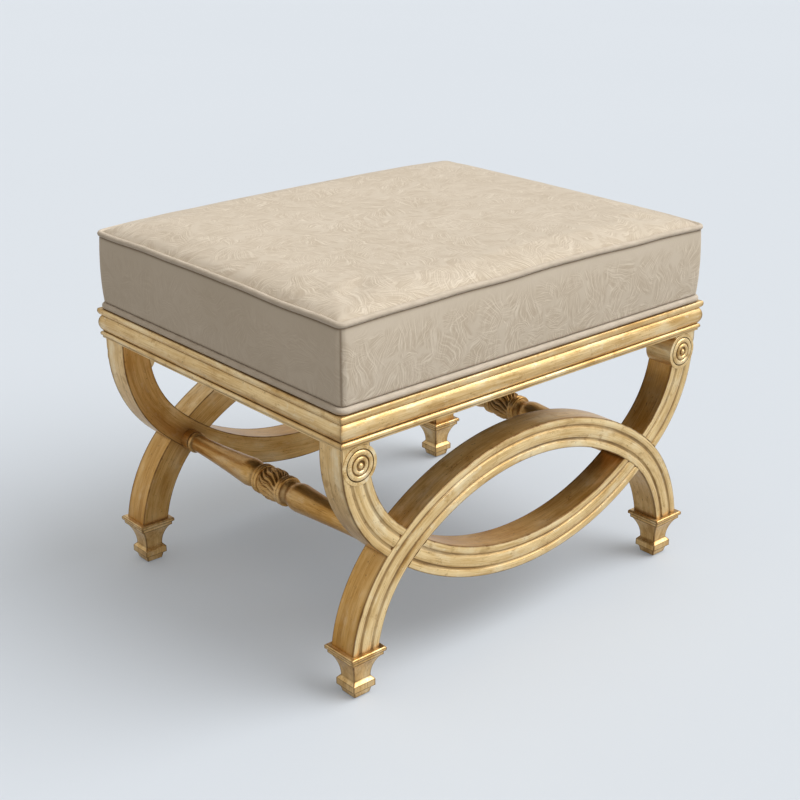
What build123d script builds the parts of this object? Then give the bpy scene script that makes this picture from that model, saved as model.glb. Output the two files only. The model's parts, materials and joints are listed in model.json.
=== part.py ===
from build123d import *
from math import atan2, cos, degrees, pi, radians, sin, sqrt
import os

# Driving dimensions in millimetres. X runs across the seat, Y from front to back, Z up from the floor.

# Seat rail: size over its moulding, and its section from the top down
rail_width = 612.0
rail_depth = 498.0
rail_underside = 325.0
rail_thickness = 48.0
cap_height = 9.0
cap_lip = 1.0
cap_return = 3.0
cap_crest = 3.0
torus_height = 22.0
torus_quirk = 4.5
torus_setback = 0.4
torus_crest = 9.9
bead_height = 6.0
bead_setback = 1.5
bead_return = 2.8
lower_fillet_height = 3.0
lower_fillet_setback = 3.6

# End frames: one band width and depth for the hanging arc and the standing arch
frame_setback = 6.5
frame_depth = 40.0
band_width = 39.0
centre_band = 13.0
groove_width = 4.0
groove_depth = 2.2
edge_round = 1.4

# Standing arch: a three-centred curve measured on its centreline
arch_half_span = 270.0
arch_springing = 36.5
arch_rise = 213.0
arch_side_radius = 182.5

# Hanging arc: a three-centred curve turned upside down, with a straight post under the rail
hanger_post = 16.5
hanger_drop = 203.5
hanger_side_radius = 152.5

# Scroll eye and its turned rosette
eye_radius = 24.5
eye_proud = 1.0
eye_recess_depth = 3.5
rosette_radius = 17.5
rosette_margin = 3.0
rosette_plinth = 3.5
rosette_relief = 2.2
rosette_ring_width = 5.0
rosette_valley = 1.6
rosette_button_radius = 3.6
spigot_diameter = 6.0
spigot_length = 11.0

# Square foot, from the floor up: heights, then half widths
foot_base_height = 9.0
foot_block_height = 8.5
foot_flare_height = 4.5
foot_cove_height = 29.0
foot_step_height = 5.5
foot_collar_height = 5.0
foot_base_half = 11.5
foot_base_top_half = 13.5
foot_block_half = 16.5
foot_neck_half = 12.5
foot_cove_half = 22.0
foot_step_half = 23.5
foot_collar_half = 26.0
foot_cove_middle_half = 15.4
foot_cove_middle_rise = 16.7
glide_radius = 9.0
glide_thickness = 1.5
glide_nail_diameter = 2.0
glide_nail_length = 12.0

# Turned stretcher: its drop below the crossing, lengths along its axis, then radii
stretcher_drop = 8.0
stretcher_tenon_length = 28.0
stretcher_tenon_diameter = 18.0
stretcher_drum_length = 13.0
stretcher_ring_width = 7.0
stretcher_neck_length = 12.0
stretcher_shoulder_length = 12.0
stretcher_shoulder_bend = 4.8
stretcher_collar_ring = 5.0
stretcher_cove_length = 8.0
knop_offset = 8.0
knop_length = 38.0
knop_flutes = 16
knop_flute_radius = 1.8
stretcher_drum_radius = 14.0
stretcher_ring_radius = 14.5
stretcher_neck_radius = 11.5
stretcher_belly_radius = 18.0
stretcher_shoulder_radius = 15.5
stretcher_bend_radius = 17.4
stretcher_taper_radius = 14.1
stretcher_valley_radius = 16.8
stretcher_collar_radius = 18.5
stretcher_cove_radius = 14.5
knop_end_radius = 17.0
knop_radius = 20.5

# Joinery
glue_gap = 0.1
dowel_diameter = 6.0
dowel_length = 36.0
dowel_end_gap = 0.5
dowel_spread = 12.0
foot_dowel_diameter = 12.0
foot_dowel_length = 44.0
mitre_tenon_width = 26.0
mitre_tenon_length = 30.0
mitre_tenon_thickness = 5.0
mitre_tenon_drop = 12.5
corner_block_leg = 80.0
corner_block_lift = 5.0
block_screw_offset = 55.0
block_screw_bite = 22.0
block_screw_seat = 14.0
seat_screw_offset = 25.0
seat_screw_bite = 9.0
screw_diameter = 4.0
screw_head_diameter = 8.0
screw_head_height = 3.0

# Cushion: setback of the boxing strips from the rail's moulding, then its layers
cushion_setback = 5.0
cushion_corner = 7.0
boxing_height = 87.5
boxing_bulge = 2.0
boxing_thickness = 1.5
top_piping_diameter = 8.0
bottom_piping_diameter = 8.5
piping_proud = 1.5
bottom_piping_proud = 2.5
piping_cord_diameter = 5.0
top_panel_thickness = 1.5
wadding_thickness = 8.0
crown_height = 16.0
shoulder_rise = 11.0
shoulder_run = 40.0
shoulder_bend_run = 16.0
shoulder_bend_rise = 7.6
edge_crown = 0.4
crown_power = 7
crown_stations = (-1, -0.93, -0.8, -0.5, 0, 0.5, 0.8, 0.93, 1)
cushion_gap = 0.3
board_thickness = 12.0
dust_cover_thickness = 1.0

# Steps that halve the interval round the crossing
crossing_steps = 60

# Levels and distances that follow from the sizes above
bead_top = rail_underside + lower_fillet_height + bead_height
torus_top = bead_top + torus_height
rail_top = torus_top + cap_height
frame_face = rail_depth / 2 - frame_setback
frame_middle = frame_face - frame_depth / 2
frame_inner = frame_face - frame_depth
hanger_half_span = rail_width / 2 - frame_setback - band_width / 2
hanger_springing = rail_underside - hanger_post
eye_x = hanger_half_span + band_width / 2 - eye_radius
eye_z = rail_underside - eye_radius
foot_block_top = foot_base_height + foot_block_height
foot_flare_top = foot_block_top + foot_flare_height
foot_cove_top = foot_flare_top + foot_cove_height
foot_step_top = foot_cove_top + foot_step_height
foot_top = foot_step_top + foot_collar_height + glide_thickness
side_centre = arch_half_span - arch_side_radius
foot_x = side_centre + sqrt(arch_side_radius**2 - (foot_top - arch_springing) ** 2)
rail_inner_x = rail_width / 2 - rail_thickness
rail_inner_y = rail_depth / 2 - rail_thickness
cushion_width = rail_width - 2 * cushion_setback
cushion_depth = rail_depth - 2 * cushion_setback
board_top = rail_top + board_thickness
bottom_piping_z = rail_top + bottom_piping_diameter / 2
boxing_bottom = rail_top + bottom_piping_diameter
boxing_top = boxing_bottom + boxing_height
top_piping_z = boxing_top + top_piping_diameter / 2
top_path_inset = top_piping_diameter / 2 - piping_proud
bottom_path_inset = bottom_piping_diameter / 2 - bottom_piping_proud


def curve_radius(half_span, rise, side_radius):
    """Radius of the middle arc of a three-centred curve."""
    reach = half_span - side_radius
    return (reach**2 + rise**2 - side_radius**2) / (2 * (rise - side_radius))


def curve_height(x, half_span, rise, side_radius):
    """Height of a three-centred curve above its springing line at distance x from the middle."""
    radius = curve_radius(half_span, rise, side_radius)
    reach = half_span - side_radius
    change = radius * sin(atan2(reach, radius - rise))
    if abs(x) <= change:
        return rise - radius + sqrt(radius**2 - x**2)
    return sqrt(side_radius**2 - (abs(x) - reach) ** 2)


def crossing_point():
    """Where the centrelines of the standing arch and the hanging arc cross, by halving the interval."""
    low = 0.0
    high = min(arch_half_span, hanger_half_span)
    for _ in range(crossing_steps):
        x = (low + high) / 2
        arch = arch_springing + curve_height(x, arch_half_span, arch_rise, arch_side_radius)
        hanger = hanger_springing - curve_height(x, hanger_half_span, hanger_drop, hanger_side_radius)
        if arch > hanger:
            low = x
        else:
            high = x
    return x, arch


crossing_x, crossing_z = crossing_point()
stretcher_z = crossing_z - stretcher_drop


def chain(start, steps):
    """Edges from a start point through steps of (end, middle); a middle of None makes a straight edge."""
    edges = []
    for end, middle in steps:
        if middle is None:
            edges.append(Line(start, end))
        else:
            edges.append(ThreePointArc(start, middle, end))
        start = end
    return edges


def banded_section(width, outer, inner):
    """Moulded section of a frame member: two grooves on its outer face, rounded outer edges."""
    half = width / 2
    groove_inner = centre_band / 2
    groove_middle = groove_inner + groove_width / 2
    groove_outer = groove_inner + groove_width
    corner = edge_round * (1 - sqrt(0.5))
    steps = [
        ((-half, outer + edge_round), None),
        ((-half + edge_round, outer), (-half + corner, outer + corner)),
        ((-groove_outer, outer), None),
        ((-groove_inner, outer), (-groove_middle, outer + groove_depth)),
        ((groove_inner, outer), None),
        ((groove_outer, outer), (groove_middle, outer + groove_depth)),
        ((half - edge_round, outer), None),
        ((half, outer + edge_round), (half - corner, outer + corner)),
        ((half, inner), None),
        ((-half, inner), None),
    ]
    return make_face(chain((-half, inner), steps))


def plain_section(width, outer, inner):
    """Rectangular section of the same member, used for the halving joints."""
    return Pos(0, (outer + inner) / 2) * Rectangle(width, inner - outer)


def turned(section, radius, centre_x, centre_z, start, end):
    """Section swept about an axis parallel to Y, from angle start to angle end measured from +X to +Z."""
    angle = radians(end)
    plane = Plane(
        origin=(centre_x, 0, centre_z),
        x_dir=(cos(angle), 0, sin(angle)),
        z_dir=(-sin(angle), 0, cos(angle)),
    )
    placed = plane * (Pos(radius, 0) * section)
    axis = Axis((centre_x, 0, centre_z), (0, 1, 0))
    return revolve(placed, axis=axis, revolution_arc=end - start)


def three_centred(section, half_span, rise, side_radius):
    """Upright three-centred band that springs from z = 0."""
    radius = curve_radius(half_span, rise, side_radius)
    reach = half_span - side_radius
    change = degrees(atan2(reach, radius - rise))
    right = turned(section, side_radius, reach, 0, 0, 90 - change)
    crown = turned(section, radius, 0, rise - radius, 90 - change, 90 + change)
    left = turned(section, side_radius, -reach, 0, 90 + change, 180)
    return right + crown + left


def arch_band(section):
    """Band along the standing arch."""
    band = three_centred(section, arch_half_span, arch_rise, arch_side_radius)
    return Pos(0, 0, arch_springing) * band


def hanger_band(section):
    """Band along the hanging arc."""
    band = three_centred(section, hanger_half_span, hanger_drop, hanger_side_radius)
    return Pos(0, 0, hanger_springing) * mirror(band, about=Plane.XY)


def along_y(radius, x, z, start, end):
    """Cylinder parallel to Y between two y values."""
    length = abs(end - start)
    return Pos(x, (start + end) / 2, z) * Rot(90, 0, 0) * Cylinder(radius, length)


def dowel_places(x_sign, y_sign):
    """The two dowels above one scroll eye, one to each side of the rail's mitre."""
    mitre_y = eye_x - (rail_width - rail_depth) / 2
    spread = dowel_spread / sqrt(2)
    front = (x_sign * (eye_x - spread), y_sign * (mitre_y + spread))
    side = (x_sign * (eye_x + spread), y_sign * (mitre_y - spread))
    return front, side


def dowel_holes(places):
    """Vertical holes for dowels that pass the underside of the rail."""
    hole_radius = dowel_diameter / 2 + glue_gap
    hole_length = dowel_length + 2 * dowel_end_gap
    return [Pos(x, y, rail_underside) * Cylinder(hole_radius, hole_length) for x, y in places]


def stretcher_hole(x_sign):
    """Round mortise at a crossing, bored from the inner face of the front frame."""
    depth = stretcher_tenon_length + dowel_end_gap
    radius = stretcher_tenon_diameter / 2 + glue_gap
    return along_y(radius, x_sign * crossing_x, stretcher_z, -frame_inner, -frame_inner - depth)


def front_hanging_arc():
    """Hanging arc of the front frame: halved on its outer side to let the standing arch pass."""
    arc = hanger_band(banded_section(band_width, -frame_face, -frame_inner))
    for x_sign in (-1, 1):
        post_middle = (hanger_springing + rail_underside) / 2
        post = Box(band_width, frame_depth, hanger_post)
        arc += Pos(x_sign * hanger_half_span, -frame_middle, post_middle) * post
        arc += along_y(eye_radius, x_sign * eye_x, eye_z, -frame_face - eye_proud, -frame_inner)
    lap = plain_section(band_width + 2 * glue_gap, -frame_face - eye_proud, -frame_middle)
    arc -= arch_band(lap)
    for x_sign in (-1, 1):
        recess_floor = -frame_face + eye_recess_depth - eye_proud
        recess_radius = rosette_radius + rosette_margin
        arc -= along_y(recess_radius, x_sign * eye_x, eye_z, -frame_face - eye_proud, recess_floor)
        spigot_end = recess_floor + spigot_length + dowel_end_gap
        spigot_hole = spigot_diameter / 2 + glue_gap
        arc -= along_y(spigot_hole, x_sign * eye_x, eye_z, recess_floor, spigot_end)
        arc -= stretcher_hole(x_sign)
        arc -= dowel_holes(dowel_places(x_sign, -1))
    return arc


def front_standing_arch():
    """Standing arch of the front frame: halved on its inner side, with a dowel hole above each foot."""
    arch = arch_band(banded_section(band_width, -frame_face, -frame_inner))
    arch -= hanger_band(plain_section(band_width + 2 * glue_gap, -frame_middle - glue_gap, -frame_inner))
    below = Pos(0, -frame_middle, foot_top / 2 - band_width)
    arch -= below * Box(2 * arch_half_span + 2 * band_width, 2 * frame_depth, foot_top + 2 * band_width)
    for x_sign in (-1, 1):
        arch -= stretcher_hole(x_sign)
        arch -= foot_dowel_hole(x_sign)
    return arch


def foot_dowel_hole(x_sign):
    """Hole for the dowel between a front foot and its leg."""
    length = foot_dowel_length + 2 * dowel_end_gap
    radius = foot_dowel_diameter / 2 + glue_gap
    return Pos(x_sign * foot_x, -frame_middle, foot_top) * Cylinder(radius, length)


def foot_outline():
    """Full-width outline of a foot, drawn in x and z from its underside up."""
    top = foot_top - glide_thickness
    cove_middle = (foot_cove_middle_half, foot_flare_top + foot_cove_middle_rise)
    steps = [
        ((foot_base_half, 0), None),
        ((foot_base_top_half, foot_base_height), None),
        ((foot_block_half, foot_base_height), None),
        ((foot_block_half, foot_block_top), None),
        ((foot_neck_half, foot_flare_top), None),
        ((foot_cove_half, foot_cove_top), cove_middle),
        ((foot_step_half, foot_cove_top), None),
        ((foot_step_half, foot_step_top), None),
        ((foot_collar_half, foot_step_top), None),
        ((foot_collar_half, top), None),
        ((0, top), None),
    ]
    right = chain((0, 0), steps)
    left = [mirror(edge, about=Plane.YZ) for edge in right]
    return make_face(right + left)


def square_foot(x_sign, y_sign):
    """Square-turned foot: its outline cut from two sides, bored for its dowel and its glide nail."""
    outline = foot_outline()
    one_way = extrude(Plane.XZ * outline, amount=foot_collar_half, both=True)
    foot = one_way & (Rot(0, 0, 90) * one_way)
    dowel = Cylinder(foot_dowel_diameter / 2 + glue_gap, foot_dowel_length + 2 * dowel_end_gap)
    foot -= Pos(0, 0, foot_top - glide_thickness) * dowel
    nail_hole = Cylinder(glide_nail_diameter / 2, 2 * (glide_nail_length + dowel_end_gap))
    foot -= nail_hole
    return Pos(x_sign * foot_x, y_sign * frame_middle, glide_thickness) * foot


def glide(x_sign, y_sign):
    """Nail-on glide under a foot."""
    disc = Pos(0, 0, glide_thickness / 2) * Cylinder(glide_radius, glide_thickness)
    nail = Cylinder(glide_nail_diameter / 2, glide_nail_length)
    nail = Pos(0, 0, glide_thickness + glide_nail_length / 2) * nail
    return Pos(x_sign * foot_x, y_sign * frame_middle, 0) * (disc + nail)


def rosette(x_sign, y_sign):
    """Turned rosette: two rounded rings and a button on a plinth, with a spigot behind."""
    face = rosette_plinth
    crest = rosette_plinth + rosette_relief
    inner_edge = rosette_radius - rosette_ring_width
    second_edge = inner_edge - rosette_valley
    button_edge = second_edge - rosette_ring_width
    dome_radius = (rosette_button_radius**2 + rosette_relief**2) / (2 * rosette_relief)
    steps = [
        ((spigot_diameter / 2, -spigot_length), None),
        ((spigot_diameter / 2, 0), None),
        ((rosette_radius, 0), None),
        ((rosette_radius, face), None),
        ((inner_edge, face), ((rosette_radius + inner_edge) / 2, crest)),
        ((second_edge, face), None),
        ((button_edge, face), ((second_edge + button_edge) / 2, crest)),
        ((rosette_button_radius, face), None),
    ]
    edges = chain((0, -spigot_length), steps)
    edges.append(RadiusArc((rosette_button_radius, face), (0, crest), -dome_radius))
    edges.append(Line((0, crest), (0, -spigot_length)))
    turned_piece = revolve(Plane.XZ * make_face(edges), axis=Axis.Z)
    seat = frame_face + eye_proud - eye_recess_depth
    return Pos(x_sign * eye_x, y_sign * seat, eye_z) * Rot(-90 * y_sign, 0, 0) * turned_piece


def stretcher_half(start, side):
    """Half outline of a stretcher in radius and distance, from beside the knop to the end of its tenon."""
    ring_start = frame_inner - stretcher_drum_length
    neck_start = ring_start - stretcher_ring_width
    neck_end = neck_start - stretcher_neck_length
    collar_middle = start + stretcher_collar_ring
    collar_end = collar_middle + stretcher_collar_ring
    cove_end = collar_end + stretcher_cove_length
    belly = cove_end + stretcher_shoulder_length
    tenon_radius = stretcher_tenon_diameter / 2
    tenon_end = frame_inner + stretcher_tenon_length
    valley = stretcher_valley_radius
    neck = stretcher_neck_radius
    steps = [
        ((valley, start), None),
        ((valley, collar_middle), (stretcher_collar_radius, (start + collar_middle) / 2)),
        ((valley, collar_end), (stretcher_collar_radius, (collar_middle + collar_end) / 2)),
        ((stretcher_shoulder_radius, cove_end), (stretcher_cove_radius, (collar_end + cove_end) / 2)),
        ((stretcher_belly_radius, belly), (stretcher_bend_radius, cove_end + stretcher_shoulder_bend)),
        ((neck, neck_end), (stretcher_taper_radius, (belly + neck_end) / 2)),
        ((neck, neck_start), None),
        ((neck, ring_start), (stretcher_ring_radius, (ring_start + neck_start) / 2)),
        ((stretcher_drum_radius, ring_start), None),
        ((stretcher_drum_radius, frame_inner), None),
        ((tenon_radius, frame_inner), None),
        ((tenon_radius, tenon_end), None),
        ((0, tenon_end), None),
    ]
    edges = chain((knop_end_radius, start), steps)
    if side < 0:
        edges = [mirror(edge, about=Plane.XZ) for edge in edges]
    return edges, tenon_end


def stretcher(x_sign):
    """Turned stretcher with a fluted knop, its tenons pinning the two halving joints."""
    back_start = knop_length / 2 + knop_offset
    front_start = knop_length / 2 - knop_offset
    back_edges, back_end = stretcher_half(back_start, 1)
    front_edges, front_end = stretcher_half(front_start, -1)
    knop_ends = (knop_end_radius, back_start), (knop_end_radius, -front_start)
    knop = ThreePointArc(knop_ends[0], (knop_radius, knop_offset), knop_ends[1])
    axis_line = Line((0, back_end), (0, -front_end))
    outline = make_face(back_edges + front_edges + [knop, axis_line])
    shaft = revolve(outline, axis=Axis.Y)
    for index in range(knop_flutes):
        angle = 2 * pi * index / knop_flutes
        x = knop_radius * cos(angle)
        z = knop_radius * sin(angle)
        shaft -= along_y(knop_flute_radius, x, z, -front_start, back_start)
    return Pos(x_sign * crossing_x, 0, stretcher_z) * shaft


def rail_section():
    """Rail section in inward distance and height: cap, torus, bead and lower fillet."""
    bead_bottom = bead_top - bead_height
    steps = [
        ((cap_return, torus_top), (0, rail_top - cap_crest)),
        ((torus_quirk, torus_top), None),
        ((torus_quirk + torus_setback, bead_top), (torus_setback, torus_top - torus_crest)),
        ((bead_return, bead_bottom), (bead_setback, bead_top - bead_height / 2)),
        ((lower_fillet_setback, bead_bottom), None),
        ((lower_fillet_setback, rail_underside), None),
        ((rail_thickness, rail_underside), None),
        ((rail_thickness, rail_top), None),
        ((cap_lip, rail_top), None),
    ]
    return make_face(chain((cap_lip, rail_top), steps))


def moulded_rail(length, distance):
    """Rail along X with its outer face at y = -distance, mitred at both ends."""
    plane = Plane(origin=(-length / 2, -distance, 0), x_dir=(0, 1, 0), z_dir=(1, 0, 0))
    rail = extrude(plane * rail_section(), amount=length)
    half = length / 2
    mitred = Polygon(
        (-half, -distance),
        (half, -distance),
        (half - rail_thickness, -distance + rail_thickness),
        (-half + rail_thickness, -distance + rail_thickness),
        align=None,
    )
    return rail & (Pos(0, 0, rail_underside) * extrude(mitred, amount=rail_top - rail_underside))


def mitre_tenon(x_sign, y_sign, gap):
    """Loose tenon that crosses a mitre of the rail, or its mortise when gap is not zero."""
    x = x_sign * (rail_width - rail_thickness) / 2
    y = y_sign * (rail_depth - rail_thickness) / 2
    block = Box(mitre_tenon_width + 2 * gap, mitre_tenon_length + 2 * gap, mitre_tenon_thickness + 2 * gap)
    return Pos(x, y, rail_top - mitre_tenon_drop) * Rot(0, 0, 45 * x_sign * y_sign) * block


def block_screw_axis(x_sign, y_sign, towards_side):
    """Seat of a corner block screw's head, and the direction that the screw points."""
    height = (rail_underside + corner_block_lift + rail_top - dust_cover_thickness) / 2
    if towards_side:
        x = x_sign * (rail_inner_x - block_screw_seat)
        y = y_sign * (rail_inner_y - block_screw_offset)
        return (x, y, height), (x_sign, 0, 0)
    x = x_sign * (rail_inner_x - block_screw_offset)
    y = y_sign * (rail_inner_y - block_screw_seat)
    return (x, y, height), (0, y_sign, 0)


def screw(start, direction, grip, gap=0.0):
    """Flat-headed screw whose head rests at start; a gap makes it the clearance hole instead."""
    plane = Plane(origin=start, z_dir=direction)
    shank = Pos(0, 0, (grip + gap) / 2) * Cylinder(screw_diameter / 2 + gap, grip + gap)
    head = Pos(0, 0, -screw_head_height / 2) * Cylinder(screw_head_diameter / 2 + gap, screw_head_height)
    return plane * (shank + head)


def corner_block(x_sign, y_sign):
    """Triangular block glued inside a rail corner, counterbored for its screws."""
    corner = (x_sign * rail_inner_x, y_sign * rail_inner_y)
    outline = Polygon(
        corner,
        (corner[0] - x_sign * corner_block_leg, corner[1]),
        (corner[0], corner[1] - y_sign * corner_block_leg),
        align=None,
    )
    bottom = rail_underside + corner_block_lift
    height = rail_top - dust_cover_thickness - bottom
    block = extrude(Pos(0, 0, bottom) * outline, amount=height, dir=(0, 0, 1))
    bore = screw_head_diameter / 2 + glue_gap
    for towards_side in (True, False):
        start, direction = block_screw_axis(x_sign, y_sign, towards_side)
        block -= screw(start, direction, block_screw_seat + block_screw_bite, glue_gap)
        plane = Plane(origin=start, z_dir=direction)
        block -= plane * (Pos(0, 0, -corner_block_leg / 2) * Cylinder(bore, corner_block_leg))
    block -= seat_screw(x_sign, y_sign, glue_gap)
    return block


def seat_screw(x_sign, y_sign, gap=0.0):
    """Screw up through a corner block into the seat board."""
    bottom = rail_underside + corner_block_lift + screw_head_height
    x = x_sign * (rail_inner_x - seat_screw_offset)
    y = y_sign * (rail_inner_y - seat_screw_offset)
    return screw((x, y, bottom), (0, 0, 1), rail_top + seat_screw_bite - bottom, gap)


def rounded_plate(width, depth, corner, bottom, thickness):
    """Flat plate with rounded corners."""
    return extrude(Pos(0, 0, bottom) * RectangleRounded(width, depth, corner), amount=thickness)


def crown_factor(position):
    """Share of the crown at a position from 0 in the middle to 1 at the edge."""
    return edge_crown / crown_height + (1 - edge_crown / crown_height) * (1 - position**crown_power)


def crown_curve(half, level, factor):
    """Shoulder, crown and shoulder of one cross-section, as three arcs from -half to half."""
    rise = shoulder_rise * factor
    crown = crown_height * factor
    knee = half - shoulder_run
    bend = half - shoulder_bend_run
    bend_rise = shoulder_bend_rise * factor
    return [
        ThreePointArc((-half, level), (-bend, level + bend_rise), (-knee, level + rise)),
        ThreePointArc((-knee, level + rise), (0, level + crown), (knee, level + rise)),
        ThreePointArc((knee, level + rise), (bend, level + bend_rise), (half, level)),
    ]


def crowned_layer(width, depth, level, thickness, flat_bottom=None):
    """Crowned layer of the cushion, lofted across X; flat_bottom makes it a block instead of a sheet."""
    half_width = width / 2
    half_depth = depth / 2
    sections = []
    for position in crown_stations:
        factor = crown_factor(abs(position))
        edges = crown_curve(half_depth, level, factor)
        if flat_bottom is None:
            base = level - thickness
            edges += crown_curve(half_depth, base, factor)
        else:
            base = flat_bottom
            edges.append(Line((-half_depth, base), (half_depth, base)))
        edges.append(Line((-half_depth, base), (-half_depth, level)))
        edges.append(Line((half_depth, base), (half_depth, level)))
        plane = Plane(origin=(position * half_width, 0, 0), x_dir=(0, 1, 0), z_dir=(1, 0, 0))
        sections.append(plane * make_face(edges))
    return loft(sections)


def boxing_section():
    """Boxing strip section in outward distance and height: a thin strip that swells between its seams."""
    middle = (boxing_bottom + boxing_top) / 2
    return make_face(
        [
            ThreePointArc((0, boxing_bottom), (boxing_bulge, middle), (0, boxing_top)),
            Line((0, boxing_top), (-boxing_thickness, boxing_top)),
            ThreePointArc(
                (-boxing_thickness, boxing_top),
                (boxing_bulge - boxing_thickness, middle),
                (-boxing_thickness, boxing_bottom),
            ),
            Line((-boxing_thickness, boxing_bottom), (0, boxing_bottom)),
        ]
    )


def boxing_strip(length, distance):
    """Strip along X at y = -distance that turns half of each corner and ends at the corner seam."""
    straight = length / 2 - cushion_corner
    plane = Plane(origin=(-straight, -distance, 0), x_dir=(0, -1, 0), z_dir=(-1, 0, 0))
    section = plane * boxing_section()
    strip = extrude(section, amount=2 * straight, dir=(1, 0, 0))
    pivot = -distance + cushion_corner
    turn = revolve(section, axis=Axis((-straight, pivot, 0), (0, 0, -1)), revolution_arc=45)
    return strip + turn + mirror(turn, about=Plane.YZ)


def ring_path(inset, height, corner):
    """Rounded rectangle that a piping follows, inset from the boxing's face."""
    outline = RectangleRounded(cushion_width - 2 * inset, cushion_depth - 2 * inset, corner)
    return Pos(0, 0, height) * outline.wire()


def piping(inset, height, outer, inner):
    """Round tube along a piping's path; an inner diameter of zero makes it the cord."""
    path = ring_path(inset, height, cushion_corner)
    section = Plane(path @ 0, z_dir=path % 0) * Circle(outer / 2)
    if inner > 0:
        section -= Plane(path @ 0, z_dir=path % 0) * Circle(inner / 2)
    return sweep(section, path=path)


def build():
    """All pieces by name."""
    corners = [(x_sign, y_sign) for y_sign in (-1, 1) for x_sign in (-1, 1)]
    names = {-1: "left", 1: "right"}, {-1: "front", 1: "back"}
    pieces = {}

    hanger = front_hanging_arc()
    pieces["front_hanging_arc"] = hanger
    pieces["back_hanging_arc"] = mirror(hanger, about=Plane.XZ)
    arch = front_standing_arch()
    pieces["front_standing_arch"] = arch
    pieces["back_standing_arch"] = mirror(arch, about=Plane.XZ)

    for x_sign, y_sign in corners:
        place = f"{names[1][y_sign]}_{names[0][x_sign]}"
        pieces[f"{place}_foot"] = square_foot(x_sign, y_sign)
        pieces[f"{place}_rosette"] = rosette(x_sign, y_sign)
        pieces[f"{place}_corner_block"] = corner_block(x_sign, y_sign)
    pieces["foot_glides"] = Compound([glide(*corner) for corner in corners])
    foot_dowel = Cylinder(foot_dowel_diameter / 2, foot_dowel_length)
    pieces["foot_dowels"] = Compound(
        [Pos(x * foot_x, y * frame_middle, foot_top) * foot_dowel for x, y in corners]
    )

    pieces["left_stretcher"] = stretcher(-1)
    pieces["right_stretcher"] = stretcher(1)

    eye_dowel = Cylinder(dowel_diameter / 2, dowel_length)
    eye_dowel_places = [place for corner in corners for place in dowel_places(*corner)]
    pieces["eye_dowels"] = Compound([Pos(x, y, rail_underside) * eye_dowel for x, y in eye_dowel_places])

    long_rail = moulded_rail(rail_width, rail_depth / 2)
    short_rail = moulded_rail(rail_depth, rail_width / 2)
    rails = {
        "front_rail": long_rail,
        "right_rail": Rot(0, 0, 90) * short_rail,
        "back_rail": Rot(0, 0, 180) * long_rail,
        "left_rail": Rot(0, 0, -90) * short_rail,
    }
    rail_cuts = dowel_holes(eye_dowel_places)
    for corner in corners:
        rail_cuts.append(mitre_tenon(*corner, glue_gap))
        for towards_side in (True, False):
            start, direction = block_screw_axis(*corner, towards_side)
            rail_cuts.append(screw(start, direction, block_screw_seat + block_screw_bite, glue_gap))
    for name, rail in rails.items():
        pieces[name] = rail - rail_cuts
    pieces["mitre_tenons"] = Compound([mitre_tenon(*corner, 0) for corner in corners])
    pieces["corner_block_screws"] = Compound(
        [
            screw(*block_screw_axis(*corner, towards_side), block_screw_seat + block_screw_bite)
            for corner in corners
            for towards_side in (True, False)
        ]
    )
    pieces["seat_screws"] = Compound([seat_screw(*corner) for corner in corners])
    screw_holes = [seat_screw(*corner, glue_gap) for corner in corners]

    piping_inside = bottom_path_inset + bottom_piping_diameter / 2 + cushion_gap
    board_width = cushion_width - 2 * piping_inside
    board_depth = cushion_depth - 2 * piping_inside
    board_corner = cushion_corner - bottom_piping_diameter / 2
    board = rounded_plate(board_width, board_depth, board_corner, rail_top, board_thickness)
    pieces["seat_board"] = board - screw_holes
    dust_width = 2 * rail_inner_x - 2 * cushion_gap
    dust_depth = 2 * rail_inner_y - 2 * cushion_gap
    dust_bottom = rail_top - dust_cover_thickness
    dust = Box(dust_width, dust_depth, dust_cover_thickness)
    dust = Pos(0, 0, dust_bottom + dust_cover_thickness / 2) * dust
    pieces["dust_cover"] = dust - screw_holes

    corner_room = (cushion_corner - top_piping_diameter / 2) * (1 - sqrt(0.5))
    panel_inset = top_path_inset + top_piping_diameter / 2 + cushion_gap + corner_room
    panel_width = cushion_width - 2 * panel_inset
    panel_depth = cushion_depth - 2 * panel_inset
    panel_level = top_piping_z + top_panel_thickness / 2
    pieces["cover_top_panel"] = crowned_layer(panel_width, panel_depth, panel_level, top_panel_thickness)
    wadding_level = panel_level - top_panel_thickness - cushion_gap
    wrap_inset = boxing_thickness + cushion_gap
    wrap_height = boxing_top - cushion_gap - board_top
    wrap_width = cushion_width - 2 * wrap_inset
    wrap_depth = cushion_depth - 2 * wrap_inset
    wrap = rounded_plate(wrap_width, wrap_depth, cushion_corner - wrap_inset, board_top, wrap_height)
    wrap -= Pos(0, 0, board_top + wrap_height / 2) * Box(panel_width, panel_depth, wrap_height)
    sheet = crowned_layer(panel_width, panel_depth, wadding_level, wadding_thickness)
    pieces["wadding_wrap"] = sheet + wrap
    foam_level = wadding_level - wadding_thickness - cushion_gap
    foam_width = panel_width - 2 * cushion_gap
    foam_depth = panel_depth - 2 * cushion_gap
    pieces["foam_core"] = crowned_layer(foam_width, foam_depth, foam_level, 0, board_top)

    long_strip = boxing_strip(cushion_width, cushion_depth / 2)
    short_strip = boxing_strip(cushion_depth, cushion_width / 2)
    pieces["front_boxing"] = long_strip
    pieces["right_boxing"] = Rot(0, 0, 90) * short_strip
    pieces["back_boxing"] = Rot(0, 0, 180) * long_strip
    pieces["left_boxing"] = Rot(0, 0, -90) * short_strip

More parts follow.
